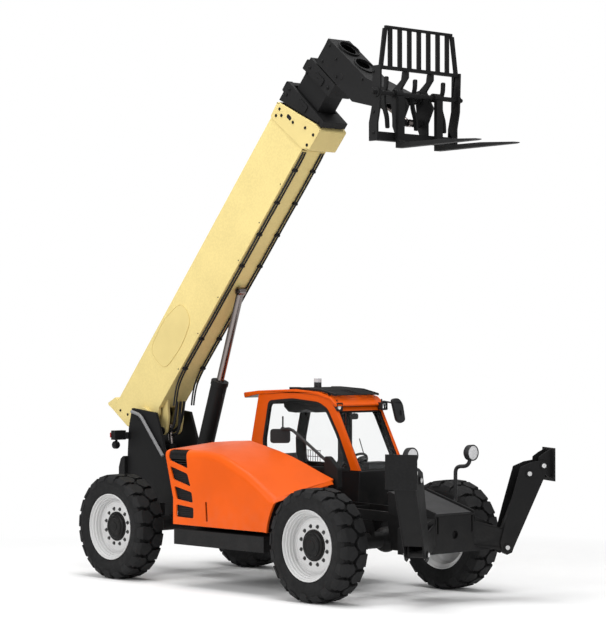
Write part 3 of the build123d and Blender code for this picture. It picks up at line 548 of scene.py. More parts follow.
class Sketch:
    """Gathers shapes into one mesh piece."""

    def __init__(self) -> None:
        """Starts an empty mesh."""
        self.mesh = bmesh.new()

    def box(self, low: Sequence[float], high: Sequence[float]) -> "Sketch":
        """Adds a block between two corners.

        Args:
            low: the corner with the lowest coordinates.
            high: the corner with the highest coordinates.

        Returns:
            The sketch.
        """
        low, high = Vector(low), Vector(high)
        middle, size = (low + high) / 2, high - low
        made = bmesh.ops.create_cube(self.mesh, size=1.0)["verts"]
        bmesh.ops.scale(self.mesh, vec=size, verts=made)
        bmesh.ops.translate(self.mesh, vec=middle, verts=made)
        return self

    def turned(self, foot: Vector, axis: Vector, profile: Iterable[tuple[float, float]], sides: int = 32):
        """Adds a turned shape.

        Args:
            foot: the point on the axis that distances are measured from.
            axis: the axis' direction.
            profile: pairs of distance along the axis and radius; 0 closes an end.
            sides: number of facets round it.

        Returns:
            The sketch.
        """
        axis = axis.normalized()
        side = axis.orthogonal().normalized()
        other = axis.cross(side)
        rings = []
        for distance, radius in profile:
            centre = foot + axis * distance
            if radius == 0:
                rings.append([self.mesh.verts.new(centre)])
                continue
            steps = (2 * math.pi * k / sides for k in range(sides))
            rings.append([self.mesh.verts.new(centre + (side * math.cos(a) + other * math.sin(a)) * radius)
                          for a in steps])
        for first, second in zip(rings, rings[1:]):
            for k in range(sides):
                corners = [first[k % len(first)], first[(k + 1) % len(first)]]
                corners += [second[(k + 1) % len(second)], second[k % len(second)]]
                corners = list(dict.fromkeys(corners))
                if len(corners) > 2:
                    self.mesh.faces.new(corners)
        return self

    def bolt(self, foot: Vector, axis: Vector, size: float, washer: bool = True) -> "Sketch":
        """Adds a hexagon head of a width across its corners, on a washer, standing on a face.

        Args:
            foot: the middle of its seat on the face.
            axis: the direction that the head stands in.
            size: its width across corners in metres.
            washer: whether it stands on a washer.

        Returns:
            The sketch.
        """
        height = size * 0.36
        if washer:
            radius = size * 0.68
            rim = [(-0.002, 0.0), (-0.002, radius), (size * 0.09, radius), (size * 0.12, radius * 0.92)]
            self.turned(foot, axis, [*rim, (size * 0.12, 0.0)], 20)
        head = [(0.0, 0.0), (0.0, size / 2), (height, size / 2), (height * 1.18, size * 0.42),
                (height * 1.18, 0.0)]
        return self.turned(foot, axis, head, 6)

    def sweep(self, points: Sequence[Vector], radius: float, sides: int = 12) -> "Sketch":
        """Adds a round bar through points, with flat ends.

        Args:
            points: the bar's middle line.
            radius: its radius in metres.
            sides: number of facets round it.

        Returns:
            The sketch.
        """
        points = [Vector(p) for p in points]
        rings, side = [], None
        for k, point in enumerate(points):
            before, after = points[max(k - 1, 0)], points[min(k + 1, len(points) - 1)]
            way = (after - before).normalized()
            side = way.orthogonal() if side is None else side - way * side.dot(way)
            side = side.normalized()
            other = way.cross(side)
            steps = (2 * math.pi * n / sides for n in range(sides))
            rings.append([self.mesh.verts.new(point + (side * math.cos(a) + other * math.sin(a)) * radius)
                          for a in steps])
        for first, second in zip(rings, rings[1:]):
            for k in range(sides):
                nxt = (k + 1) % sides
                self.mesh.faces.new((first[k], first[nxt], second[nxt], second[k]))
        self.mesh.faces.new(list(reversed(rings[0])))
        self.mesh.faces.new(rings[-1])
        return self

    def slab(self, loops: Sequence[Sequence[Vector]], depth: Vector) -> "Sketch":
        """Adds a plate with openings.

        Args:
            loops: the outline and then the openings, all in one plane.
            depth: the plate's thickness, as a vector.

        Returns:
            The sketch.
        """
        near = [[self.mesh.verts.new(p) for p in loop] for loop in loops]
        far = [[self.mesh.verts.new(p + depth) for p in loop] for loop in loops]
        for face, flip in ((near, False), (far, True)):
            corners = [v for loop in face for v in loop]
            for three in tessellate_polygon([[v.co for v in loop] for loop in face]):
                turn = tuple(reversed(three)) if flip else three
                self.mesh.faces.new([corners[k] for k in turn])
        for one, two in zip(near, far):
            for k, corner in enumerate(one):
                nxt = (k + 1) % len(one)
                self.mesh.faces.new((corner, one[nxt], two[nxt], two[k]))
        return self

    def side(self, y0: float, y1: float, *loops: Outline, pull: float = 0.0) -> "Sketch":
        """Adds a plate across the machine from (forward, up) loops in millimetres.

        Args:
            y0: one face's place to the left, in millimetres.
            y1: the other face's place.
            loops: the outline and then the openings.
            pull: how far the openings' corners are rounded.

        Returns:
            The sketch.
        """
        shaped = [rounded(loop, pull) if k and pull else loop for k, loop in enumerate(loops)]
        return self.slab([[mm(x, y0, z) for x, z in loop] for loop in shaped],
                         Vector((0, (y1 - y0) * MM, 0)))

    def boom(self, y0: float, y1: float, *loops: Outline) -> "Sketch":
        """Adds a plate across the boom from (along, across) loops in millimetres.

        Args:
            y0: one face's place to the left, in millimetres.
            y1: the other face's place.
            loops: the outline and then the openings.

        Returns:
            The sketch.
        """
        return self.slab([[along(u * MM, v * MM, y0 * MM) for u, v in loop] for loop in loops],
                         Vector((0, (y1 - y0) * MM, 0)))

    def carve(self, *cutters: "Sketch") -> "Sketch":
        """Cuts the space of other sketches out of this one.

        Args:
            cutters: closed sketches, which are used up.

        Returns:
            The sketch.
        """
        solid = self.loose()
        for cutter in cutters:
            tool = cutter.loose()
            cut = solid.modifiers.new("cut", "BOOLEAN")
            cut.object = tool
            cut.operation = "DIFFERENCE"
            cut.solver = "EXACT"
            graph = bpy.context.evaluated_depsgraph_get()
            data = bpy.data.meshes.new_from_object(solid.evaluated_get(graph))
            solid.modifiers.clear()
            solid.data = data
            bpy.data.objects.remove(tool)
        self.mesh = bmesh.new()
        self.mesh.from_mesh(solid.data)
        bpy.data.objects.remove(solid)
        return self

    def loose(self) -> bpy.types.Object:
        """The sketch as a bare object, for carving."""
        bmesh.ops.recalc_face_normals(self.mesh, faces=self.mesh.faces)
        data = bpy.data.meshes.new("loose")
        self.mesh.to_mesh(data)
        self.mesh.free()
        made = bpy.data.objects.new("loose", data)
        bpy.context.scene.collection.objects.link(made)
        return made

    def piece(self, name: str, finish: Finish, body: str, edge: float = 0.0) -> bpy.types.Object:
        """Turns the sketch into a piece that rides on a body.

        Args:
            name: the piece's name.
            finish: its finish.
            body: the CAD body that carries it.
            edge: width of its rounded edges in metres.

        Returns:
            The piece.
        """
        bmesh.ops.recalc_face_normals(self.mesh, faces=self.mesh.faces)
        data = bpy.data.meshes.new(name)
        self.mesh.to_mesh(data)
        self.mesh.free()
        data.materials.append(finish.material())
        made = bpy.data.objects.new(name, data)
        bpy.context.scene.collection.objects.link(made)
        soften(made, edge)
        return settle(made, finish, body)


def settle(made: bpy.types.Object, finish: Finish, body: str) -> bpy.types.Object:
    """Gives a piece its body, and reports it.

    Args:
        made: the piece.
        finish: its finish.
        body: the CAD body that carries it.

    Returns:
        The piece.
    """
    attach(made, body)
    log.info("%s: %s on %s", made.name, finish.name, body)
    return made


def hose(name: str, points: Sequence[Vector], radius: float, body: str,
         finish: Finish = HOSE) -> bpy.types.Object:
    """A fixed hose or pipe along a smooth line.

    Args:
        name: the piece's name.
        points: the control points of its line.
        radius: its radius in metres.
        body: the CAD body that carries it.
        finish: its finish.

    Returns:
        The piece.
    """
    line = bpy.data.curves.new(name, "CURVE")
    line.dimensions = "3D"
    line.bevel_depth = radius
    line.bevel_resolution = 3
    line.resolution_u = 6
    line.use_fill_caps = True
    spline = line.splines.new("NURBS")
    spline.points.add(len(points) - 1)
    for knot, point in zip(spline.points, points):
        knot.co = (*point, 1.0)
    spline.order_u = 3
    spline.use_endpoint_u = True
    line.materials.append(finish.material())
    made = bpy.data.objects.new(name, line)
    bpy.context.scene.collection.objects.link(made)
    return settle(made, finish, body)


# ---------------------------------------------------------------- CAD nodes


@dataclass
class Dressing:
    """Gives every CAD node its finish and softened edges."""

    edge: float = 0.004

    def build(self) -> None:
        """Dresses each node of the table."""
        for finish, nodes in DRESSING.items():
            for name in nodes:
                self.dress(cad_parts[name], finish)

    def dress(self, node: bpy.types.Object, finish: Finish) -> None:
        """Puts a finish on one node and rounds its edges.

        Args:
            node: the CAD node, whose mesh stays as it is.
            finish: its finish.
        """
        for place in node.material_slots:
            place.link = "OBJECT"
            place.material = finish.material()
        width = 0.0 if node.name in PLAIN_EDGES else self.edge
        soften(node, width, merge=True)
        log.info("%s: %s", node.name, finish.name)


# ---------------------------------------------------------------- wheels


@dataclass
class Wheel:
    """A tyre with two rows of interlocking blocks, its stepped rim and its planetary hub."""

    end: str
    side: str
    blocks: int = 20
    tread_r: float = 0.655
    floor_r: float = 0.606
    half: float = 0.200
    nuts: int = 12

    @property
    def centre(self) -> Vector:
        """The wheel's middle."""
        return at(WHEELBASE if self.end == "front" else 0.0, SIDES[self.side] * HALF_TRACK, AXLE_Z)

    @property
    def out(self) -> Vector:
        """The direction from the machine towards the wheel's outer face."""
        return Vector((0.0, SIDES[self.side], 0.0))

    def build(self) -> None:
        """Makes the tyre, the rim, the hub and the nuts."""
        label = f"{self.end}_{self.side}"
        body = f"wheel_{label}"
        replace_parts(self.tyre(f"tyre_{label}_tread", body), f"tyre_{label}")
        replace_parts(self.rim(f"rim_{label}_steel", body), f"rim_{label}")
        self.hub(f"hub_{label}", body)
        self.ring_of_nuts(f"nuts_{label}", body)

    def tyre(self, name: str, body: str) -> bpy.types.Object:
        """The carcass with ridged sidewalls, and the blocks on it."""
        sketch = Sketch()
        wall = [
            (0.134, 0.376), (0.160, 0.398), (0.172, 0.420), (0.182, 0.432), (0.184, 0.440), (0.190, 0.452),
            (0.196, 0.480), (0.199, 0.520), (0.201, 0.524), (0.201, 0.530), (0.199, 0.534), (0.196, 0.566),
            (0.188, 0.594), (0.172, 0.612), (0.140, 0.619), (0.0, self.floor_r),
        ]
        profile = [(-w, r) for w, r in wall] + [(w, r) for w, r in reversed(wall[:-1])] + [(-0.134, 0.376)]
        sketch.turned(self.centre, self.out, profile, 80)
        for row in (-1.0, 1.0):
            for k in range(self.blocks):
                turn = 2 * math.pi * (k + (0.25 if row > 0 else 0.75)) / self.blocks
                self.block(sketch, turn, row, deep=k % 2 == 0)
        return sketch.piece(name, TYRE, body, 0.005)

    def block(self, sketch: Sketch, turn: float, row: float, deep: bool) -> None:
        """One tread block from the tread's middle out over the shoulder.

        Args:
            sketch: the tyre's sketch.
            turn: the block's angle round the tyre.
            row: which half of the tread, -1 or 1.
            deep: whether it reaches further down the sidewall.
        """
        tread = [
            (-84, 46), (-20, -4), (28, -4), (84, 52), (82, 96), (66, 114), (70, 160), (-88, 160),
            (-94, 120), (-82, 104),
        ]
        low = 0.548 if deep else 0.580
        shoulder = [((70, 160), (62, 196), (50, 204)), ((-88, 160), (-78, 196), (-62, 204))]
        heights = (self.tread_r, 0.612, low)

        def spot(arc: float, across: float, radius: float) -> bmesh.types.BMVert:
            """A corner, from its place round and across the tread and its radius."""
            angle = turn + arc * MM / self.tread_r
            way = spoke(angle)
            return sketch.mesh.verts.new(self.centre + way * radius + self.out * (across * MM * row))

        top = [spot(a, b, self.tread_r - 0.004 * abs(b) / 200) for a, b in tread]
        foot = [spot(a * 1.04, b, self.floor_r - 0.012) for a, b in tread]
        sketch.mesh.faces.new(top)
        for k in range(len(top)):
            nxt = (k + 1) % len(top)
            if k != 6:
                sketch.mesh.faces.new((top[k], top[nxt], foot[nxt], foot[k]))
        last_top, last_foot = (top[6], top[7]), (foot[6], foot[7])
        for step in (1, 2):
            tops = tuple(spot(*path[step], heights[step]) for path in shoulder)
            feet = tuple(spot(path[step][0] * 1.04, path[step][1] - 14,
                              heights[step] - (0.02, 0.0)[step - 1]) for path in shoulder)
            sketch.mesh.faces.new((last_top[0], tops[0], tops[1], last_top[1]))
            sketch.mesh.faces.new((last_top[0], last_foot[0], feet[0], tops[0]))
            sketch.mesh.faces.new((last_top[1], tops[1], feet[1], last_foot[1]))
            last_top, last_foot = tops, feet
        sketch.mesh.faces.new((last_top[0], last_foot[0], last_foot[1], last_top[1]))

    def rim(self, name: str, body: str) -> bpy.types.Object:
        """The stepped steel rim with its coned disc."""
        front = [
            (0.172, 0.412), (0.181, 0.410), (0.183, 0.402), (0.176, 0.395), (0.152, 0.388), (0.147, 0.376),
            (0.122, 0.371),
            (0.117, 0.358), (0.086, 0.354), (0.081, 0.345), (0.050, 0.341), (0.042, 0.330), (0.052, 0.312),
            (0.056, 0.300), (0.050, 0.292), (0.058, 0.262), (0.062, 0.214), (0.060, 0.100),
        ]
        back = [
            (0.044, 0.100), (0.040, 0.290), (0.028, 0.318), (0.0, 0.340), (-0.136, 0.354), (-0.150, 0.388),
            (-0.178, 0.398), (-0.182, 0.410), (-0.172, 0.412), (-0.140, 0.380), (0.140, 0.380),
            (0.172, 0.412),
        ]
        return Sketch().turned(self.centre, self.out, front + back, 96).piece(name, SILVER, body, 0.0)

    def hub(self, name: str, body: str) -> bpy.types.Object:
        """The dark planetary hub with its stepped cap."""
        steps = [
            (-0.134, 0.0), (-0.134, 0.150), (-0.110, 0.168), (0.040, 0.168), (0.058, 0.182), (0.072, 0.182),
            (0.074, 0.178),
            (0.074, 0.166), (0.090, 0.160), (0.100, 0.140), (0.114, 0.134), (0.118, 0.126), (0.118, 0.104),
            (0.112, 0.100), (0.112, 0.060), (0.118, 0.056), (0.118, 0.0),
        ]
        sketch = Sketch().turned(self.centre, self.out, steps, 64)
        for k in range(6):
            turn = 2 * math.pi * k / 6
            spot = self.centre + self.out * 0.118 + spoke(turn, 0.115)
            sketch.bolt(spot, self.out, 0.014, washer=False)
        return sketch.piece(name, BLACK, body, 0.002)

    def ring_of_nuts(self, name: str, body: str) -> bpy.types.Object:
        """The wheel nuts on the hub's flange."""
        sketch = Sketch()
        for k in range(self.nuts):
            turn = 2 * math.pi * (k + 0.5) / self.nuts
            spot = self.centre + self.out * 0.060 + spoke(turn, 0.222)
            sketch.bolt(spot, self.out, 0.036)
            sketch.turned(spot, self.out, [(0.0, 0.0), (0.0, 0.009), (0.024, 0.009), (0.026, 0.0)], 12)
        return sketch.piece(name, STEEL_DARK, body, 0.0)


# ---------------------------------------------------------------- hood


@dataclass
class Hood:
    """The folded engine hood with its rounded ridge, wheel arch, side vents and top vent."""

    outer_y: float = -1200.0
    inner_y: float = -420.0
    low: float = 755.0
    ridge_r: float = 95.0
    skin: float = 22.0
    arch_r: float = 820.0
    lip: float = 48.0
    stations: tuple[Point, ...] = (
        (1000, 1650, 1722), (1350, 1652, 1748), (1700, 1652, 1765), (1978, 1621, 1710), (2240, 1528, 1655),
        (2486, 1424, 1590), (2700, 1300, 1520), (2898, 1172, 1450), (3173, 1012, 1360),
    )
    vents: tuple[Outline, ...] = (
        ((1098, 1458), (1425, 1376), (1486, 1224), (1160, 1300)),
        ((1178, 1218), (1505, 1156), (1530, 1030), (1226, 1062)),
        ((1222, 998), (1541, 970), (1541, 842), (1222, 848)),
    )
    top_vent: Outline = ((1000, 1720), (1370, 1720), (1405, 1600), (1428, 1440), (1090, 1530), (1050, 1640))

    def build(self) -> None:
        """Makes the shell and the meshes in its vents."""
        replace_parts(self.shell(), "hood")
        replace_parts(self.grilles(), "hood_grilles")

    def section(self, x: float, ridge: float, inner: float, inset: float) -> list[Vector]:
        """A cross-section at x, from the outer wall's foot round to the inner wall's foot.

        Args:
            x: distance ahead of the rear axle, in mm.
            ridge: height of the outer ridge, in mm.
            inner: height of the inner edge, in mm.
            inset: how far the section is drawn in, in mm.

        Returns:
            The corners in order.
        """
        out_y, in_y = self.outer_y + inset, self.inner_y - inset
        corner, end = Vector((out_y, ridge - inset)), Vector((in_y, inner - inset))
        start = corner - Vector((0, self.ridge_r))
        finish = corner + (end - corner).normalized() * self.ridge_r
        turned = []
        for k in range(9):
            t = k / 8
            turned.append(start * (1 - t) ** 2 + corner * (2 * t * (1 - t)) + finish * t ** 2)
        points = [(out_y, self.low - inset * 4), *turned, tuple(end), (in_y, self.low - inset * 4)]
        return [mm(x, y, z) for y, z in points]

    def loft(self, stations: Sequence[Point], inset: float) -> Sketch:
        """A closed loft through the sections.

        Args:
            stations: x, ridge height and inner height of each section.
            inset: how far the sections are drawn in, in mm.

        Returns:
            The loft.
        """
        sketch = Sketch()
        rings = [[sketch.mesh.verts.new(p) for p in self.section(*station, inset)] for station in stations]
        for one, two in zip(rings, rings[1:]):
            for k in range(len(one)):
                nxt = (k + 1) % len(one)
                sketch.mesh.faces.new((one[k], one[nxt], two[nxt], two[k]))
        sketch.mesh.faces.new(rings[0])
        sketch.mesh.faces.new(list(reversed(rings[-1])))
        return sketch

    def shell(self) -> bpy.types.Object:
        """The orange shell, carved from the loft."""
        inner = [(960, 1650, 1722), *self.stations[1:-1], (3173 - self.skin, 1026, 1367)]
        arch = Sketch().turned(at(WHEELBASE, -0.3, AXLE_Z), Vector((0, -1, 0)),
                               drum(self.arch_r * MM, 1.0), 96)
        rear = Sketch().side(-1230, 0, ((880, 1900), (930, 1900), (1005, 1610), (1158, 1075), (1158, 600),
                                        (880, 600)))
        cutters = [self.loft(inner, self.skin), arch, rear]
        cutters += [Sketch().side(-1230, -1150, rounded(vent, 26)) for vent in self.vents]
        cutters.append(Sketch().side(-1230, -1085, rounded(self.top_vent, 26)))
        cutters.append(Sketch().side(-1230, -1150, ((1757, 1053), (1788, 1053), (1806, 820), (1775, 820))))
        shell = self.loft(self.stations, 0.0).carve(*cutters)
        self.arch_lip(shell)
        return shell.piece("hood_shell", ORANGE, "hood", 0.004)

    def surface(self, x: float, z: float) -> float:
        """How far inboard the skin lies at a station x and a height z, in mm.

        Args:
            x: distance ahead of the rear axle, in mm.
            z: height, in mm.

        Returns:
            The y of the skin there, in mm.
        """
        for one, two in zip(self.stations, self.stations[1:]):
            if one[0] <= x <= two[0]:
                part = (x - one[0]) / (two[0] - one[0])
                ridge, inner = (one[k] + (two[k] - one[k]) * part for k in (1, 2))
                rise = max(0.0, min(1.0, (z - ridge) / (inner - ridge)))
                return self.outer_y + (self.inner_y - self.outer_y) * rise
        return self.inner_y

    def arch_lip(self, sketch: Sketch) -> None:
        """The band that hangs from the skin's edge all round the wheel arch.

        Args:
            sketch: the shell's sketch, which the band joins.
        """
        rings = []
        for k in range(33):
            turn = math.radians(173 - k * (173 - 123.6) / 32)
            way = Vector((math.cos(turn), 0.0, math.sin(turn)))
            edge = at(WHEELBASE, 0.0, AXLE_Z) + way * self.arch_r * MM
            y = self.surface((edge.x - REAR_AXLE_X) / MM, edge.z / MM) * MM
            corners = [edge + way * 0.010, edge - way * self.lip * MM]
            rings.append([sketch.mesh.verts.new(c + Vector((0, y + dy, 0))) for c, dy in
                          ((corners[0], -0.003), (corners[1], -0.003), (corners[1], 0.03),
                           (corners[0], 0.03))])
        for one, two in zip(rings, rings[1:]):
            for k in range(4):
                sketch.mesh.faces.new((one[k], one[(k + 1) % 4], two[(k + 1) % 4], two[k]))
        sketch.mesh.faces.new(rings[0])
        sketch.mesh.faces.new(list(reversed(rings[-1])))

    def grilles(self) -> bpy.types.Object:
        """Dark louvred screens behind the vents, the top one folded over the ridge."""
        sketch = Sketch()
        for vent in self.vents:
            self.louvres(sketch, vent, -1180.0)
        sketch.side(-1176, -1170, ((1020, 1600), (1440, 1600), (1440, 1420), (1070, 1500)))
        self.louvres(sketch, ((1062, 1590), (1400, 1585), (1426, 1446), (1092, 1530)), -1186.0)
        fold = [(-1186, 1560), (-1180, 1600), (-1160, 1628), (-1120, 1648), (-1070, 1656)]
        for x in range(1030, 1400, 24):
            sketch.sweep([mm(x, y, z) for y, z in fold], 0.004, 6)
        sheet = [at(1.01, y * MM, z * MM - 0.008) for y, z in fold]
        sketch.slab([[*sheet, *[p - Vector((0, 0, 0.004)) for p in reversed(sheet)]]], Vector((0.39, 0, 0)))
        return sketch.piece("hood_screens", BLACK, "hood", 0.0)

    def louvres(self, sketch: Sketch, vent: Outline, y: float) -> None:
        """Slanted slats over a dark backing inside one vent.

        Args:
            sketch: the screens' sketch.
            vent: the opening in the hood's side.
            y: the slats' outer face, in mm.
        """
        wide = drawn_in(vent, -8.0)
        sketch.side(y + 10, y + 14, wide)
        high, low = max(z for _, z in vent), min(z for _, z in vent)
        count = max(3, int((high - low) / 26))
        for k in range(count):
            z = low + (high - low) * (k + 0.5) / count
            spans = crossings(wide, z)
            if spans:
                left, right = at(spans[0] * MM, y * MM, z * MM), at(spans[1] * MM, y * MM, z * MM)
                slat = [left, right, right + Vector((0, 0.012, 0.012)), left + Vector((0, 0.012, 0.012))]
                sketch.slab([slat], Vector((0, 0.001, 0.005)))


def crossings(outline: Outline, level: float) -> tuple[float, float] | None:
    """Where a level line enters and leaves an outline, or nothing where it misses it."""
    found = []
    for k, (x, z) in enumerate(outline):
        before_x, before_z = outline[k - 1]
        if (z - level) * (before_z - level) < 0:
            found.append(before_x + (x - before_x) * (level - before_z) / (z - before_z))
    return (min(found), max(found)) if len(found) > 1 else None


# ---------------------------------------------------------------- cab


@dataclass
class Cab:
    """The glazed cab: shell, door, panes, seals, roof guard, mirrors, lights and inner trim."""

    in_y: float = 330.0
    out_y: float = 1140.0
    wall: float = 45.0
    outline: Outline = (
        (870, 820), (2790, 820), (2845, 1384), (2424, 2150), (2330, 2256), (2100, 2318), (1660, 2350),
        (1000, 2312), (860, 1727), (870, 1380),
    )
    hollow: Outline = (
        (915, 865), (2745, 865), (2798, 1380), (2390, 2122), (2310, 2212), (2090, 2272), (1660, 2303),
        (1040, 2268), (908, 1727), (915, 1400),
    )
    right: Outline = (
        (1130, 1400), (2690, 1400), (2470, 1840), (2270, 2150), (2110, 2225), (1640, 2262), (1200, 2228),
        (1090, 1727),
    )
    rear_left: Outline = ((1010, 1400), (1690, 1400), (1690, 2235), (1120, 2235), (985, 1727))
    door_hole: Outline = (
        (1790, 850), (2735, 850), (2785, 1384), (2380, 2120), (2290, 2204), (2100, 2252), (1790, 2278),
    )
    door: Outline = ((1797, 857), (2728, 857), (2777, 1384), (2374, 2115), (2285, 2197), (2098, 2245),
                     (1797, 2270))
    door_upper: Outline = ((1850, 1400), (2705, 1400), (2325, 2085), (2250, 2150), (2090, 2192),
                           (1850, 2212))
    door_lower: Outline = ((1850, 920), (2670, 920), (2700, 1340), (1850, 1340))
    roof: Outline = (
        (724, 2325), (1000, 2354), (1673, 2383), (2110, 2352), (2330, 2292), (2455, 2200), (2448, 2178),
        (2416, 2170), (2318, 2258), (2100, 2310), (1650, 2340), (1000, 2305), (740, 2255),
    )

    def build(self) -> None:
        """Makes each part of the cab."""
        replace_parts(self.shell(), "cab_shell")
        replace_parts(self.door_frame(), "cab_door")
        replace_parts(self.panes(), "cab_glass")
        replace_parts(self.door_panes(), "cab_door_glass")
        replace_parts(self.guard(), "roof_guard")
        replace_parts(self.far_mirror(), "cab_mirror")
        self.seals()
        self.near_mirror()
        self.square_lights()
        self.lining()
        self.controls()

    def shell(self) -> bpy.types.Object:
        """The welded shell, orange outside, black below the sills, and darkened inside as painted shade."""
        band = Sketch().side(self.in_y + 2, self.out_y - 2, self.outline)
        y0, y1 = self.in_y + 50, self.out_y - 50
        cutters = [
            Sketch().side(self.in_y + self.wall, self.out_y - self.wall, self.hollow),
            Sketch().side(self.in_y - 20, self.in_y + self.wall + 1, rounded(self.right, 60)),
            Sketch().side(self.out_y - self.wall - 1, self.out_y + 20, rounded(self.rear_left, 60)),
            Sketch().side(self.out_y - self.wall - 1, self.out_y + 20, self.door_hole),
            Sketch().side(y0, y1, ((2650, 1405), (3000, 1405), (3000, 2120), (2300, 2120))),
            Sketch().side(self.in_y + 43, self.out_y - 43,
                          ((700, 1420), (1060, 1420), (1060, 2180), (700, 2180))),
        ]
        band.carve(*cutters)
        band.side(self.in_y - 10, self.out_y + 10, self.roof)
        low, high = at(1.600, 0.695, 2.350), at(1.715, 0.805, 2.392)
        return band.box(low, high).piece("cab_frame", CAB_PAINT, "chassis", 0.014)

    def door_frame(self) -> bpy.types.Object:
        """The door's frame with its two windows, its handle and its hinges."""
        sketch = Sketch().side(self.out_y - 38, self.out_y + 2, self.door, self.door_upper, self.door_lower,
                               pull=40.0)
        frame_piece = sketch.piece("door_frame", CAB_PAINT, "cab_door", 0.006)
        trim = Sketch()
        for loop in (self.door_upper, self.door_lower):
            trim.side(self.out_y - 44, self.out_y + 5, rounded(drawn_in(loop, -6), 40),
                      rounded(drawn_in(loop, 24), 40))
        trim.sweep([at(2.60, 1.150, 1.30), at(2.60, 1.166, 1.28), at(2.60, 1.166, 1.12),
                    at(2.60, 1.150, 1.10)], 0.009)
        trim.piece("door_seals", RUBBER_TRIM, "cab_door", 0.002)
        hinges = Sketch()
        for z in (1.00, 1.55, 2.05):
            hinges.turned(at(1.795, 1.155, z), UP, drum(0.013, 0.09), 16)
            hinges.box(at(1.80, 1.141, z + 0.01), at(1.87, 1.150, z + 0.08))
        hinges.piece("door_hinges", BLACK, "cab_door", 0.002)
        return frame_piece

    def panes(self) -> bpy.types.Object:
        """The fixed panes."""
        sketch = Sketch()
        y_in, y_out = self.in_y + 12, self.out_y - 18
        sketch.side(y_in, y_in + 5, drawn_in(self.right, 2))
        sketch.side(y_out, y_out + 5, drawn_in(self.rear_left, 2))
        sketch.side(self.in_y + 52, self.out_y - 52,
                    ((2808, 1392), (2404, 2128), (2399, 2125), (2803, 1389)))
        sketch.side(self.in_y + 44, self.out_y - 44,
                    ((893, 1424), (887, 1727), (976, 2176), (971, 2177), (882, 1727), (888, 1424)))
        return sketch.piece("cab_panes", PANE, "chassis", 0.0)

    def door_panes(self) -> bpy.types.Object:
        """The door's two panes."""
        sketch = Sketch()
        for loop in (self.door_upper, self.door_lower):
            sketch.side(self.out_y - 20, self.out_y - 15, drawn_in(loop, -4))
        return sketch.piece("door_panes", PANE, "cab_door", 0.0)

    def seals(self) -> bpy.types.Object:
        """The black rubber bands round the fixed windows."""
        sketch = Sketch()
        for y0, y1, loop in ((self.in_y - 4, self.in_y + 40, self.right),
                             (self.out_y - 40, self.out_y + 4, self.rear_left)):
            sketch.side(y0, y1, rounded(drawn_in(loop, -6), 60), rounded(drawn_in(loop, 34), 60))
        for y in (self.in_y + 52, self.out_y - 74):
            sketch.side(y, y + 22, ((2816, 1392), (2410, 2130), (2392, 2118), (2798, 1380)))
        for low, high in (((2816, 1392), (2798, 1422)), ((2424, 2104), (2400, 2136))):
            sketch.side(self.in_y + 52, self.out_y - 52,
                        (low, high, (high[0] - 16, high[1] - 8), (low[0] - 16, low[1] - 8)))
        return sketch.piece("window_seals", RUBBER_TRIM, "chassis", 0.003)

    def guard(self) -> bpy.types.Object:
        """The dense grid of bars over the roof, sloping with it, on four feet."""
        sketch = Sketch()
        line = [(1545, 2392), (1700, 2394), (2120, 2372), (2385, 2318)]
        for k in range(25):
            y = 380 + k * 30
            if abs(y - 750) > 60:
                sketch.sweep([mm(x, y, z) for x, z in line], 0.007, 8)
            elif y == 740:
                sketch.sweep([mm(x, y, z) for x, z in line[1:]], 0.007, 8)
        for k in range(20):
            t = k / 19
            x = 1545 + t * (2385 - 1545)
            z = next(a[1] + (b[1] - a[1]) * (x - a[0]) / (b[0] - a[0]) for a, b in
                     zip(line, line[1:]) if x <= b[0])
            sketch.sweep([at(x * MM, 0.372, z * MM), at(x * MM, 1.108, z * MM)], 0.006, 8)
        edge = Vector((0, 0.024, 0))
        for y in (0.366, 1.090):
            rail = [at(x * MM, y, z * MM - 0.012) for x, z in line]
            sketch.slab([[*rail, *[p + Vector((0, 0, 0.026)) for p in reversed(rail)]]], edge)
            for x, z in ((1560, 2340), (2250, 2296)):
                sketch.box(at(x * MM, y, z * MM), at((x + 22) * MM, y + 0.024, z * MM + 0.05))
        return sketch.piece("roof_guard_grid", BLACK, "chassis", 0.0)

    def far_mirror(self) -> bpy.types.Object:
        """The tilted mirror on its bent arm at the cab's left front corner."""
        sketch = Sketch()
        housing = [(1092, 2262), (1215, 2276), (1288, 2200), (1335, 1985), (1240, 1955), (1180, 1990)]
        face = [at(2.596, y * MM, z * MM) for y, z in rounded(housing, 45)]
        sketch.slab([face], Vector((0.045, 0, 0)))
        arm = [at(2.38, 1.150, 2.225), at(2.40, 1.19, 2.228), at(2.50, 1.205, 2.215), at(2.60, 1.205, 2.19)]
        sketch.sweep(arm, 0.011)
        sketch.box(at(2.365, 1.150, 2.195), at(2.395, 1.164, 2.255))
        sketch.box(at(2.585, 1.235, 2.06), at(2.665, 1.262, 2.12))
        return sketch.piece("far_mirror", LAMP_CASE, "chassis", 0.010)

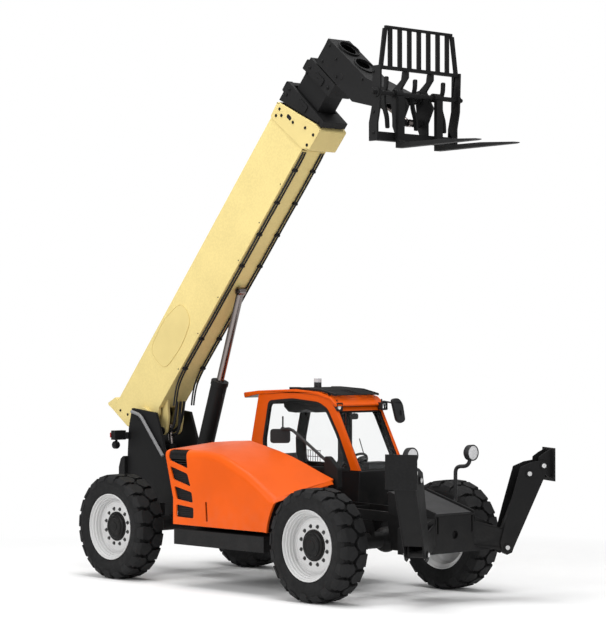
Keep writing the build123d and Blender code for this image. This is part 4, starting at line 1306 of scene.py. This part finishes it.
    def near_mirror(self) -> bpy.types.Object:
        """The right-hand mirror above the hood, on an arm from the console beside the hood's nose."""
        sketch = Sketch()
        wide, deep = Vector((0.69, 0.724, 0.0)), Vector((0.724, -0.69, 0.0))
        centre = at(2.176, -0.360, 1.833)
        corners = rounded(((-122, -86), (122, -86), (122, 86), (-122, 86)), 42)
        face = [centre + wide * (a * MM) + Vector((0, 0, b * MM)) - deep * 0.03 for a, b in corners]
        sketch.slab([face], deep * 0.06)
        sketch.sweep([at(2.222, -0.36, 1.90), at(2.222, -0.36, 2.075)], 0.010)
        arm = [at(2.19, -0.36, 1.915), at(2.33, -0.36, 1.925), at(2.405, -0.36, 1.905),
               at(2.55, -0.36, 1.822), at(3.147, -0.36, 1.470)]
        sketch.sweep(arm, 0.019)
        sketch.turned(at(2.222, -0.36, 1.90), UP, drum(0.02, 0.045), 16)
        piece = sketch.piece("near_mirror", LAMP_CASE, "chassis", 0.008)
        console = ((2990, 1620), (3060, 1620), (3220, 1480), (3235, 1240), (2990, 1240))
        block = Sketch().side(-398, -330, rounded(console, 30))
        block.piece("mirror_console", BLACK, "chassis", 0.006)
        return piece

    def square_lights(self) -> None:
        """The two work lights under the roof's front corners."""
        case, glass = Sketch(), Sketch()
        for x, y in ((2.423, 0.380), (2.487, 1.090)):
            low, high = at(x - 0.05, y - 0.045, 2.128), at(x + 0.012, y + 0.045, 2.222)
            case.box(low, high)
            case.slab([
                [at(x + 0.012, y + a * MM, 2.175 + b * MM) for a, b in
                 rounded(((-50, -52), (50, -52), (50, 52), (-50, 52)), 14)],
                [at(x + 0.012, y + a * MM, 2.175 + b * MM) for a, b in
                 rounded(((-36, -38), (36, -38), (36, 38), (-36, 38)), 10)],
            ], Vector((0.016, 0, 0)))
            case.sweep([at(x - 0.03, y, 2.22), at(x - 0.03, y, 2.262)], 0.009)
            dome = [(0.0, 0.036), (0.008, 0.034), (0.013, 0.022), (0.015, 0.0)]
            glass.turned(at(x + 0.010, y, 2.175), AHEAD, [(0.0, 0.0), *dome], 24)
        case.piece("square_light_cases", LAMP_CASE, "chassis", 0.004)
        glass.piece("square_light_lenses", REFLECTOR, "chassis", 0.0)

    def lining(self) -> None:
        """The headlining, the far pillar's trim, the inner mirror and the far sill's screen."""
        sketch = Sketch()
        top = ((1060, 2250), (1660, 2290), (2080, 2258), (2290, 2196), (2200, 2150), (1900, 2100),
               (1650, 2080), (1500, 2120),
               (1300, 2070), (1160, 2080), (1080, 2140))
        sketch.side(700, 1080, top)
        sketch.side(1072, 1092, ((1690, 865), (1790, 865), (1790, 2270), (1690, 2270)))
        sketch.piece("headlining", TRIM, "chassis", 0.006)
        outline = rounded(((690, 2010), (820, 2010), (820, 2085), (690, 2085)), 34)
        inner = Sketch().slab([[at(2.30, y * MM, z * MM) for y, z in outline]], Vector((0.02, 0, 0)))
        inner.sweep([at(2.31, 0.755, 2.07), at(2.31, 0.755, 2.19)], 0.006)
        inner.piece("inner_mirror", LAMP_CASE, "chassis", 0.004)
        grab = Sketch()
        for x, z in ((2.56, 1.80), (2.62, 1.66)):
            grab.sweep([at(x, 1.07, z), at(x + 0.03, 1.045, z - 0.02), at(x + 0.09, 1.045, z - 0.13),
                        at(x + 0.11, 1.07, z - 0.16)], 0.009)
        grab.sweep([at(2.70, 0.60, 1.40), at(2.66, 0.62, 1.50), at(2.50, 0.66, 1.78)], 0.006)
        grab.piece("grab_handles", LAMP_CASE, "chassis", 0.0)
        screen = Sketch()
        for k in range(9):
            x = 0.99 + k * 0.045
            screen.sweep([at(x, 1.08, 1.40), at(x, 1.08, 1.58)], 0.004, 6)
        for z in (1.42, 1.50, 1.58):
            screen.sweep([at(0.98, 1.08, z), at(1.36, 1.08, z)], 0.004, 6)
        screen.piece("sill_screen", BLACK, "chassis", 0.0)

    def controls(self) -> None:
        """The round instrument on the dash and the levers beside the seat."""
        sketch = Sketch()
        sketch.turned(at(2.62, 0.60, 1.50), Vector((-0.5, 0, 0.9)),
                      [(0, 0), (0, 0.062), (0.05, 0.062), (0.062, 0.05), (0.062, 0)], 28)
        sketch.box(at(2.58, 0.57, 1.38), at(2.76, 0.92, 1.50))
        for y in (0.52, 0.47):
            sketch.sweep([at(1.75, y, 1.10), at(1.76, y, 1.25), at(1.79, y, 1.34)], 0.009)
            sketch.turned(at(1.79, y, 1.34), UP, [(-0.02, 0), (-0.02, 0.018), (0.03, 0.02), (0.04, 0.0)],
                          16)
        sketch.box(at(1.45, 0.43, 0.90), at(1.90, 0.53, 1.12))
        sketch.piece("cab_controls", TRIM, "chassis", 0.006)


# ---------------------------------------------------------------- seat


@dataclass
class Seat:
    """The operator's seat: a shell with a crowned cushion and a back."""

    crown: float = 0.028
    steps: int = 14

    def build(self) -> None:
        """Makes the shell and the two padded pieces that stand for the CAD seat."""
        shell = Sketch()
        shell.box(at(1.20, 0.61, 0.865), at(1.50, 0.87, 1.06))
        for k in range(6):
            shell.box(at(1.185, 0.60, 0.90 + k * 0.026), at(1.515, 0.88, 0.912 + k * 0.026))
        shell.side(600, 880, rounded(((1150, 1060), (1560, 1060), (1560, 1090), (1150, 1090)), 10))
        shell.piece("seat_base", TRIM, "chassis", 0.006)
        base = self.pad("seat_cushion", at(1.14, 0.545, 1.09), Vector((0.49, 0, 0.01)),
                        Vector((0, 0.39, 0)), 0.11)
        back = self.pad("seat_back", at(1.12, 0.92, 1.15), Vector((-0.10, 0, 0.39)), Vector((0, -0.36, 0)),
                        0.10)
        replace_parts(base, "seat")

    def pad(self, name: str, foot: Vector, along_pad: Vector, across: Vector,
            thick: float) -> bpy.types.Object:
        """One crowned cushion with pinched corners and two sewn channels.

        Args:
            name: the piece's name.
            foot: one corner of its lower face.
            along_pad: the lower face's long side.
            across: the lower face's short side.
            thick: its thickness before the crown.

        Returns:
            The piece.
        """
        up = along_pad.cross(across).normalized()
        sketch, n = Sketch(), self.steps
        layers = []
        for face in (0, 1):
            grid = []
            for i in range(n + 1):
                row = []
                for j in range(n + 1):
                    a, b = i / n, j / n
                    pull = 0.012 * (math.sin(math.pi * a) + math.sin(math.pi * b))
                    dome = (1 - (2 * a - 1) ** 4) * (1 - (2 * b - 1) ** 4)
                    channel = 0.010 * sum(math.exp(-((b - c) / 0.035) ** 2) for c in (0.3, 0.7))
                    height = thick * (0.72 + 0.28 * dome)
                    if face:
                        height += self.crown * dome - channel * dome
                    spot = foot + along_pad * a + across * b
                    if i in (0, n) or j in (0, n):
                        middle = foot + along_pad * 0.5 + across * 0.5
                        spot = spot + (middle - spot).normalized() * (pull * 0.3)
                    row.append(sketch.mesh.verts.new(spot + up * (height if face else 0.004 * (1 - dome))))
                grid.append(row)
            layers.append(grid)
        for grid in layers:
            for i in range(n):
                for j in range(n):
                    sketch.mesh.faces.new((grid[i][j], grid[i + 1][j], grid[i + 1][j + 1], grid[i][j + 1]))
        rim = [(i, 0) for i in range(n)] + [(n, j) for j in range(n)]
        rim += [(i, n) for i in range(n, 0, -1)] + [(0, j) for j in range(n, 0, -1)]
        for k, (i, j) in enumerate(rim):
            ni, nj = rim[(k + 1) % len(rim)]
            sketch.mesh.faces.new((layers[0][i][j], layers[0][ni][nj], layers[1][ni][nj], layers[1][i][j]))
        piece = sketch.piece(name, VINYL, "chassis", 0.0)
        piece.modifiers.clear()
        round_off = piece.modifiers.new("round", "SUBSURF")
        round_off.levels = round_off.render_levels = 1
        for face in piece.data.polygons:
            face.use_smooth = True
        return piece


# ---------------------------------------------------------------- boom


@dataclass
class BoomFittings:
    """The cream base section, the ears, collars, wear pads, hoses and bolts of the boom."""

    half: float = 205.0
    foot: Outline = (
        (-404, 577), (-367, 219), (-300, 60), (-130, -115), (60, -175), (190, -175), (260, -125),
        (4470, -125), (4470, 577),
    )
    cover: Outline = ((-240, 575), (-240, 645), (-411, 719), (-423, 692), (-404, 575))
    collar: Outline = ((4425, 578), (4648, 590), (4840, -140), (4829, -250), (4520, -245), (4470, -125))
    level_ear: Outline = (
        (420, -115), (150, -115), (60, -142), (-40, -212), (-62, -300), (-15, -358), (60, -378),
        (125, -345), (225, -290),
        (320, -195),
    )

    def build(self) -> None:
        """Makes the base section and what is fitted to it and to the sliding sections."""
        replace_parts(self.base(), "boom_base")
        self.ears()
        self.base_bolts()
        self.hoses()
        self.sliding_fittings()

    def base(self) -> bpy.types.Object:
        """The welded box with its long foot, tail cover and front collar."""
        bore = Sketch().boom(-193, 193, ((4400, -113), (4900, -113), (4900, 565), (4400, 565)))
        sketch = Sketch().boom(-225, 225, rounded(self.collar, 26)).carve(bore)
        for side in (-1, 1):
            sketch.boom(side * self.half, side * (self.half - 12), self.foot)
            sketch.boom(side * (self.half - 12), side * (self.half - 40), (*self.foot[:7], (260, 577)))
            sketch.turned(along(0, 0, side * 0.165), Vector((0, side, 0)), drum(0.12, 0.095), 48)
        sketch.boom(-193, 193, ((-404, 565), (4440, 565), (4440, 577), (-404, 577)))
        sketch.boom(-193, 193, ((260, -125), (4440, -125), (4440, -113), (260, -113)))
        sketch.boom(-193, 193, ((-404, 565), (-392, 565), (-355, 219), (-367, 219)))
        sketch.boom(-self.half, self.half, self.cover)
        for y in (-self.half - 6, self.half):
            sketch.boom(y, y + 6, rounded(((700, 100), (1180, 40), (1560, 120), (1600, 420), (1200, 540),
                                           (700, 500)), 150))
        return sketch.piece("boom_base_box", CREAM, "boom_base", 0.008)

    def ears(self) -> None:
        """The curved ears that the levelling cylinder hangs from, and their pins."""
        sketch = Sketch()
        sketch_pins = Sketch()
        for side in (-1, 1):
            sketch.boom(side * 95, side * 135, rounded(self.level_ear, 40))
            sketch_pins.turned(along(0.030, -0.315, side * 0.135), Vector((0, side, 0)),
                               [(0, 0), (0, 0.05), (0.02, 0.05), (0.024, 0.04), (0.024, 0)], 28)
        sketch.piece("level_ears", CREAM, "boom_base", 0.006)
        sketch_pins.piece("ear_pins", BLACK, "boom_base", 0.002)

    def base_bolts(self) -> None:
        """Bolt heads and the slotted opening on the collar and the small dots along the side."""
        sketch = Sketch()
        for side in (-1, 1):
            out = Vector((0, side, 0))
            for u, v in ((4.50, 0.50), (4.60, 0.50), (4.56, 0.42), (4.62, 0.20), (4.70, -0.02),
                         (4.56, -0.18), (4.72, -0.19)):
                sketch.bolt(along(u, v, side * 0.225), out, 0.030)
            for u in (0.9, 1.5, 2.1, 2.7, 3.3, 3.9):
                sketch.turned(along(u, -0.095, side * self.half * MM), out,
                              [(0, 0), (0, 0.009), (0.006, 0.007), (0.006, 0)], 12)
            for u, v in ((-0.30, 0.45), (-0.24, 0.30), (-0.10, 0.02), (0.16, -0.12)):
                sketch.bolt(along(u, v, side * self.half * MM), out, 0.026)
        sketch.piece("base_bolts", BLACK, "boom_base", 0.0)
        slot = Sketch()
        for side in (-1, 1):
            loop = rounded(((4600, 250), (4650, 250), (4650, 340), (4600, 340)), 24)
            slot.boom(side * 225, side * 227, loop)
        slot.piece("collar_slots", BLACK, "boom_base", 0.0)

    def hoses(self) -> None:
        """Hoses and pipes under the boom, with their clamps."""
        clamps = Sketch()
        for k, y in enumerate((-0.168, -0.130, 0.130, 0.168)):
            v = -0.140 - 0.006 * (k % 2)
            points = [along(0.45, -0.30, y), along(0.62, -0.19, y), along(0.85, v, y)]
            points += [along(u, v - 0.004 * (i % 2), y) for i, u in
                       enumerate((1.3, 1.8, 2.3, 2.8, 3.3, 3.8, 4.2))]
            points += [along(4.34, v, y), along(4.42, v + 0.01, y)]
            hose(f"boom_hose_{k}", points, 0.011, "boom_base")
        for u in (0.95, 1.45, 2.65, 3.15, 3.65, 4.15):
            for y in (-0.149, 0.149):
                middle, left = u / MM, y / MM
                clamps.boom(left - 36, left + 36, ((middle - 18, -125), (middle + 18, -125),
                                                   (middle + 14, -162), (middle - 14, -162)))
        clamps.piece("hose_clamps", BLACK, "boom_base", 0.004)
        for k, (y, sag) in enumerate(((-0.060, 0.50), (0.0, 0.58), (0.060, 0.46))):
            points = [along(-0.02, -0.08, y), along(-0.06, -sag * 0.6, y), along(0.12, -sag * 0.8, y),
                      along(0.32, -0.30, y), along(0.45, -0.22, y)]
            hose(f"foot_hose_{k}", points, 0.018, "boom_base")

    def sliding_fittings(self) -> None:
        """Stepped collars, wear-pad blocks and bolts at the mouths of the sliding sections."""
        rows = (
            ("boom_second", 4.90, 0.200, 0.605, -0.215, 0.555),
            ("boom_third", 5.30, 0.172, 0.505, -0.060, 0.490),
        )
        for body, front, half, high, low, pad in rows:
            sketch = Sketch()
            for side in (-1, 1):
                out = Vector((0, side, 0))
                for du, v in ((-0.03, high - 0.07), (-0.11, high - 0.07), (-0.03, low + 0.08),
                              (-0.03, (high + low) / 2)):
                    sketch.bolt(along(front + du, v, side * half), out, 0.034)
                y0, y1 = sorted((side * (half - 0.10), side * (half - 0.01)))
                loop = rounded(((front / MM - 120, high / MM), (front / MM + 20, high / MM),
                                (front / MM + 20, high / MM + 46),
                                (front / MM - 120, high / MM + 46)), 16)
                sketch.boom(y0 / MM, y1 / MM, loop)
                sketch.boom(side * half / MM, side * (half / MM + 14),
                            rounded(((front / MM - 90, 120), (front / MM + 10, 120), (front / MM + 10, 300),
                                     (front / MM - 90, 300)), 20))
            sketch.piece(f"{body}_pads", BLACK, body, 0.005)


# ---------------------------------------------------------------- head, carriage, front and rear


@dataclass
class Head:
    """Bolts, pin caps, hole rims and hoses on the boom's head."""

    def build(self) -> None:
        """Makes the fittings of the head."""
        sketch = Sketch()
        for side in (-1, 1):
            out = Vector((0, side, 0))
            for u, v in ((5.46, 0.30), (5.68, 0.32), (5.46, -0.02), (5.70, -0.40), (5.62, 0.12)):
                sketch.bolt(along(u, v, side * 0.180), out, 0.034)
            steps = [(0.0, 0.0), (0.0, 0.075), (0.016, 0.075), (0.020, 0.066), (0.020, 0.0)]
            pin = along(5.895, -0.985, side * 0.180)
            sketch.turned(pin, out, steps, 32)
        run = along(1.0, 0.0) - along(0.0, 0.0)
        for v in (0.176, -0.176):
            ring = [(-0.010, 0.128), (0.026, 0.128), (0.026, 0.142), (-0.010, 0.142), (-0.010, 0.128)]
            sketch.turned(along(5.738, v), run, ring, 48)
        sketch.piece("head_fittings", BLACK, "boom_fly", 0.003)
        for k, y in enumerate((-0.085, 0.085)):
            points = [along(5.50, -0.12, y), along(5.62, -0.38, y), along(5.60, -0.62, y),
                      along(5.78, -0.86, y)]
            hose(f"head_hose_{k}", points, 0.013, "boom_fly")


@dataclass
class Carriage:
    """Curved hook brackets, eyes and bolts on the fork carriage."""

    def build(self) -> None:
        """Makes the carriage's fittings."""
        sketch = Sketch()
        hook = (
            (4080, 6020), (4135, 6020), (4128, 5900), (4085, 5800), (4090, 5700), (4140, 5560),
            (4150, 5420), (4100, 5420),
            (4090, 5540), (4040, 5680), (4036, 5810), (4078, 5910),
        )
        for y in (-470, 0, 470):
            sketch.side(y - 16, y + 16, rounded(hook, 40))
        for sign in (-1, 1):
            out = Vector((0, sign, 0))
            for z in (5.36, 5.60, 5.86, 6.06):
                sketch.bolt(at(4.10, sign * 0.670, z), out, 0.032)
            sketch.turned(at(4.146, sign * 0.670, 5.82), out, drum(0.055, 0.018), 28)
        sketch.piece("carriage_hooks", BLACK, "carriage", 0.005)


SPLAY = math.radians(27.0)


def bent(points: Sequence[Vector], reach: float, steps: int = 8) -> list[Vector]:
    """An open path with its corners turned into smooth bends.

    Args:
        points: the path's corners.
        reach: how far from a corner its bend starts.
        steps: straight runs in each bend.

    Returns:
        The points of the bent path.
    """
    path = [points[0]]
    for before, corner, after in zip(points, points[1:], points[2:]):
        start = corner + (before - corner).normalized() * reach
        end = corner + (after - corner).normalized() * reach
        for k in range(steps + 1):
            t = k / steps
            path.append(start * (1 - t) ** 2 + corner * (2 * t * (1 - t)) + end * t ** 2)
    return [*path, points[-1]]


@dataclass
class Leg:
    """One outrigger's hinge plates, pins and cylinder details, in its own swing plane."""

    name: str
    side: int
    depth: float = 0.250
    pins: tuple[tuple[float, float], ...] = ((0.0, 0.0), (0.450, 0.935), (0.272, 0.845))

    def spot(self, b: float, up: float, depth: float = 0.0) -> Vector:
        """A point b outwards and up from the leg's pivot, depth behind its front face.

        Args:
            b: metres outwards from the pivot.
            up: metres up from the pivot.
            depth: metres behind the leg's front face.

        Returns:
            The point in the machine's frame.
        """
        out = Vector((math.sin(SPLAY), self.side * math.cos(SPLAY), 0.0))
        return at(4.940, self.side * 0.660, 0.605) + out * b + Vector((0, 0, up)) + self.back() * depth

    def back(self) -> Vector:
        """The direction behind the leg's front face."""
        return Vector((-math.cos(SPLAY), self.side * math.sin(SPLAY), 0.0))

    def hinge(self, sketch: Sketch) -> None:
        """The two hinge plates that carry the leg, the shelf between them and the pins."""
        outline = rounded(((-430, 40), (-430, 330), (-20, 215), (40, 165), (52, 0), (0, -54), (-37, -37)),
                          24)
        for depth in (0.024, self.depth - 0.048):
            sketch.slab([[self.spot(b * MM, up * MM, depth) for b, up in outline]], self.back() * 0.024)
        shelf = ((-430, 40), (-430, 60), (-70, 20), (-70, 0))
        sketch.slab([[self.spot(b * MM, up * MM, 0.024) for b, up in shelf]],
                    self.back() * (self.depth - 0.048))
        middle = self.depth / 2
        for start, end in ((0.048, middle - 0.034), (middle + 0.034, self.depth - 0.048)):
            sketch.turned(self.spot(-0.02, 0.15, start), self.back(), drum(0.024, end - start), 24)

    def bright_pins(self) -> None:
        """The bright pin ends on both faces, each with its ring."""
        sketch, rings = Sketch(), Sketch()
        head = [(0, 0), (0, 0.026), (0.008, 0.026), (0.011, 0.022), (0.011, 0)]
        collar = [(0, 0.026), (0, 0.044), (0.014, 0.044), (0.016, 0.041), (0.016, 0.026), (0, 0.026)]
        for b, up in self.pins:
            for depth, way in ((-0.016, -self.back()), (self.depth + 0.016, self.back())):
                foot = self.spot(b, up, depth) - way * 0.004
                sketch.turned(foot, way, head, 32)
                rings.turned(foot - way * 0.014, way, collar, 32)
        sketch.piece(f"outrigger_pins_{self.name}", SILVER, f"outrigger_{self.name}", 0.0)
        rings.piece(f"outrigger_pin_rings_{self.name}", BLACK, f"outrigger_{self.name}", 0.0)


@dataclass
class Front:
    """The cross beam, its deck, the round work lamps and the outriggers' hinges and pins."""

    deck_y: float = 310.0

    def build(self) -> None:
        """Makes the front's pieces."""
        legs = [Leg(name, side) for name, side in SIDES.items()]
        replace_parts(self.beam(legs), "front_frame")
        corners = (at(3.96, -0.29, 1.240), at(4.72, -0.29, 1.021), at(4.72, 0.29, 1.021),
                   at(3.96, 0.29, 1.240))
        deck = Sketch().slab([corners], Vector((0, 0, 0.004)))
        deck.piece("deck_plate", GREY, "chassis", 0.0)
        self.lamps()
        for leg in legs:
            leg.bright_pins()

    def beam(self, legs: Sequence[Leg]) -> bpy.types.Object:
        """The crowned box beam with its slots, the sloping deck between its webs and the hinges.

        Args:
            legs: the two outriggers, whose hinges it carries.

        Returns:
            The piece.
        """
        sketch = Sketch()
        crown = ((-0.64, 0.575), (0.64, 0.575), (0.64, 0.870), (0.26, 1.0), (-0.26, 1.0), (-0.64, 0.870))
        sketch.slab([[at(4.45, y, z) for y, z in crown]], Vector((0.29, 0, 0)))
        slots = []
        for side in (-1, 1):
            slots.append(Sketch().box(at(4.70, side * 0.282 - 0.010, 0.80),
                                      at(4.80, side * 0.282 + 0.010, 1.10)))
            slots.append(Sketch().turned(at(4.70, side * 0.40, 0.815), AHEAD, drum(0.022, 0.08), 24))
        slots.append(Sketch().turned(at(4.70, 0.0, 0.78), AHEAD, drum(0.046, 0.08), 32))
        sketch.carve(*slots)
        sketch.box(at(4.30, -0.27, 0.62), at(4.45, 0.27, 0.645))
        sketch.side(-self.deck_y, self.deck_y, ((3950, 1215), (3950, 1240), (4740, 1012), (4740, 990)))
        for side in (-1, 1):
            y0, y1 = sorted((side * self.deck_y, side * (self.deck_y + 22)))
            sketch.side(y0, y1, ((3990, 1000), (3990, 1256), (4740, 1042), (4740, 900), (4460, 900)))
        for leg in legs:
            leg.hinge(sketch)
        return sketch.piece("front_beam", BLACK, "chassis", 0.006)

    def lamps(self) -> None:
        """The round work lamps on their curved stalks."""
        stalks, rims, glass, mirrors = Sketch(), Sketch(), Sketch(), Sketch()
        ahead = AHEAD
        for side in (-1, 1):
            route = [at(x, side * y, z) for x, y, z in
                     ((4.305, 0.3325, 1.085), (4.305, 0.465, 1.085), (4.305, 0.468, 1.52),
                           (4.49, 0.496, 1.53), (4.51, 0.500, 1.64))]
            stalks.sweep(bent(route, 0.075), 0.023, 20)
            spot = at(4.546, side * 0.501, 1.687)
            bowl = [(-0.105, 0.0), (-0.100, 0.034), (-0.086, 0.066), (-0.060, 0.090), (0.004, 0.095),
                    (0.012, 0.092), (0.012, 0.080), (-0.012, 0.078), (-0.012, 0.0)]
            rims.turned(spot, ahead, bowl, 48)
            mirrors.turned(spot, ahead, [(-0.012, 0.0), (-0.012, 0.020), (-0.002, 0.070), (0.002, 0.078),
                                         (-0.012, 0.078)], 48)
            glass.turned(spot, ahead, [(0.003, 0.0), (0.003, 0.079), (0.008, 0.079), (0.012, 0.050),
                                       (0.014, 0.0)], 48)
        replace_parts(stalks.piece("work_lamp_stalks", LAMP_CASE, "chassis", 0.0), "work_lamps")
        rims.piece("work_lamp_rims", LAMP_CASE, "chassis", 0.0)
        mirrors.piece("work_lamp_reflectors", REFLECTOR, "chassis", 0.0)
        glass.piece("work_lamp_lenses", LAMP_WHITE, "chassis", 0.0)


@dataclass
class Rear:
    """The rear lamps on their brackets, the towers' guard tubes and the counterweight's bolts."""

    tube_y: float = 0.335

    def build(self) -> None:
        """Makes the rear's fittings."""
        cases, red, bolts, tubes = Sketch(), Sketch(), Sketch(), Sketch()
        back = -AHEAD
        for side in (-1, 1):
            for x0, x1, y0, y1, z0, z1 in ((-0.950, -0.862, 0.330, 0.512, 1.690, 1.812),
                                           (-0.870, -0.800, 0.310, 0.350, 1.700, 1.790),
                                           (-0.925, -0.905, 0.435, 0.465, 1.625, 1.695)):
                low, high = sorted((side * y0, side * y1))
                cases.box(at(x0, low, z0), at(x1, high, z1))
            cases.turned(at(-0.880, side * 0.450, 1.622), back,
                         [(0, 0), (0, 0.036), (0.020, 0.050), (0.066, 0.052), (0.070, 0.046), (0.070, 0)],
                         36)
            red.turned(at(-0.948, side * 0.450, 1.622), back,
                       [(0, 0), (0, 0.044), (0.008, 0.042), (0.012, 0.024), (0.013, 0)], 32)
            for y in (0.36, 0.43, 0.50):
                red.box(at(-0.956, side * y - 0.026, 1.72), at(-0.949, side * y + 0.026, 1.785))
            for z in (0.70, 1.30):
                bolts.bolt(at(-0.980, side * 0.27, z), back, 0.05)
            route = [at(x, side * self.tube_y, z) for x, z in
                     ((-0.742, 2.060), (-0.565, 2.024), (-0.098, 1.505))]
            tubes.sweep(bent(route, 0.08), 0.021, 20)
            for x, z in ((-0.690, 2.049), (-0.170, 1.585)):
                tubes.turned(at(x, side * 0.310, z), Vector((0, side, 0)), drum(0.012, 0.025), 16)
        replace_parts(cases.piece("rear_lamp_cases", BLACK, "chassis", 0.004), "rear_lamps")
        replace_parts(tubes.piece("tower_guard_tubes", TUBE, "chassis", 0.0), "tower_tubes")
        red.piece("rear_lenses", RED, "chassis", 0.003)
        bolts.piece("counterweight_bolts", BLACK, "chassis", 0.0)


# ---------------------------------------------------------------- studio


@dataclass
class Studio:
    """The floor, the world, the soft lamps and the camera."""

    place: Point = (20.345, -18.778, 2.996)
    heading: float = 47.186
    rise: float = 0.631
    lens: float = 129.24
    ambient: float = 0.52

    def build(self) -> None:
        """Makes all of it."""
        self.floor()
        self.world()
        self.lamps()
        self.camera()

    def floor(self) -> None:
        """A pale floor that keeps the machine's shadow and runs out to the backdrop's white."""
        sketch = bmesh.new()
        bmesh.ops.create_grid(sketch, x_segments=8, y_segments=8, size=60.0)
        data = bpy.data.meshes.new("floor")
        sketch.to_mesh(data)
        sketch.free()
        floor = bpy.data.objects.new("floor", data)
        bpy.context.scene.collection.objects.link(floor)
        graph = Graph("floor_pale")
        grain = graph.blend(graph.noise(3.0, 5.0), (0.90, 0.90, 0.90), (0.93, 0.93, 0.93))
        matt = graph.add("ShaderNodeBsdfPrincipled", {"Base Color": grain, "Roughness": 0.85})
        white = graph.add("ShaderNodeEmission", {"Color": (1, 1, 1, 1), "Strength": 1.0})
        reach = graph.add("ShaderNodeVectorMath", {0: graph.place}, operation="LENGTH").outputs["Value"]
        fade = graph.remap(reach, 4.5, 8.0, 0.0, 1.0)
        rays = graph.add("ShaderNodeLightPath").outputs
        seen = graph.maths("MAXIMUM", rays["Is Camera Ray"], rays["Is Transmission Ray"])
        factor = graph.maths("MULTIPLY", fade, seen)
        mixed = graph.add("ShaderNodeMixShader", {0: factor, 1: matt.outputs[0], 2: white.outputs[0]})
        data.materials.append(graph.close(mixed))

    def world(self) -> None:
        """Soft grey light from all round, seen as white by the camera and through glass."""
        world = bpy.data.worlds.new("studio")
        bpy.context.scene.world = world
        world.use_nodes = True
        nodes, links = world.node_tree.nodes, world.node_tree.links
        nodes.clear()
        soft, white = (nodes.new("ShaderNodeBackground") for _ in range(2))
        soft.inputs[0].default_value = (1.0, 1.0, 1.0, 1.0)
        soft.inputs[1].default_value = self.ambient
        white.inputs[0].default_value = (1.0, 1.0, 1.0, 1.0)
        white.inputs[1].default_value = 1.0
        rays = nodes.new("ShaderNodeLightPath")
        seen = nodes.new("ShaderNodeMath")
        seen.operation = "MAXIMUM"
        links.new(rays.outputs["Is Camera Ray"], seen.inputs[0])
        links.new(rays.outputs["Is Transmission Ray"], seen.inputs[1])
        mixed = nodes.new("ShaderNodeMixShader")
        links.new(seen.outputs[0], mixed.inputs[0])
        links.new(soft.outputs[0], mixed.inputs[1])
        links.new(white.outputs[0], mixed.inputs[2])
        links.new(mixed.outputs[0], nodes.new("ShaderNodeOutputWorld").inputs[0])

    def lamps(self) -> None:
        """A wide top box, a key on the machine's right and a weaker one ahead of it."""
        self.lamp("top_box", (0.5, -1.0, 13.0), 9.0, 1300.0)
        self.lamp("right_key", (-2.0, -13.0, 8.0), 6.0, 900.0)
        self.lamp("front_fill", (13.0, -2.0, 6.0), 5.0, 300.0)

    def lamp(self, name: str, place: Point, size: float, power: float) -> None:
        """One square soft lamp that points at the machine's middle.

        Args:
            name: the lamp's name.
            place: where it hangs.
            size: its width in metres.
            power: its power in watts.
        """
        data = bpy.data.lights.new(name, "AREA")
        data.size = size
        data.energy = power
        lamp = bpy.data.objects.new(name, data)
        lamp.location = place
        way = Vector((0.0, 0.0, 2.0)) - Vector(place)
        lamp.rotation_euler = way.to_track_quat("-Z", "Y").to_euler()
        bpy.context.scene.collection.objects.link(lamp)

    def camera(self) -> None:
        """The camera, level to within a degree, on the machine's right front corner."""
        data = bpy.data.cameras.new("camera")
        data.lens = self.lens
        data.sensor_width = 36.0
        data.clip_end = 200.0
        camera = bpy.data.objects.new("camera", data)
        heading, rise = math.radians(self.heading), math.radians(self.rise)
        way = Vector((-math.sin(heading), math.cos(heading), math.tan(rise)))
        camera.location = self.place
        camera.rotation_euler = way.to_track_quat("-Z", "Y").to_euler()
        bpy.context.scene.collection.objects.link(camera)
        bpy.context.scene.camera = camera


# ---------------------------------------------------------------- the whole


def main() -> None:
    """Builds every sub-assembly in order."""
    logging.basicConfig(level=logging.INFO, format="%(message)s")
    bpy.context.scene.view_settings.view_transform = "Standard"
    wheels = [Wheel(end, side) for end in ENDS for side in SIDES]
    for part in (Studio(), Dressing(), *wheels, Hood(), Cab(), Seat(), BoomFittings(), Head(), Carriage(),
                 Front(), Rear()):
        log.info("building %s", type(part).__name__)
        part.build()


if __name__ == "__main__":
    main()
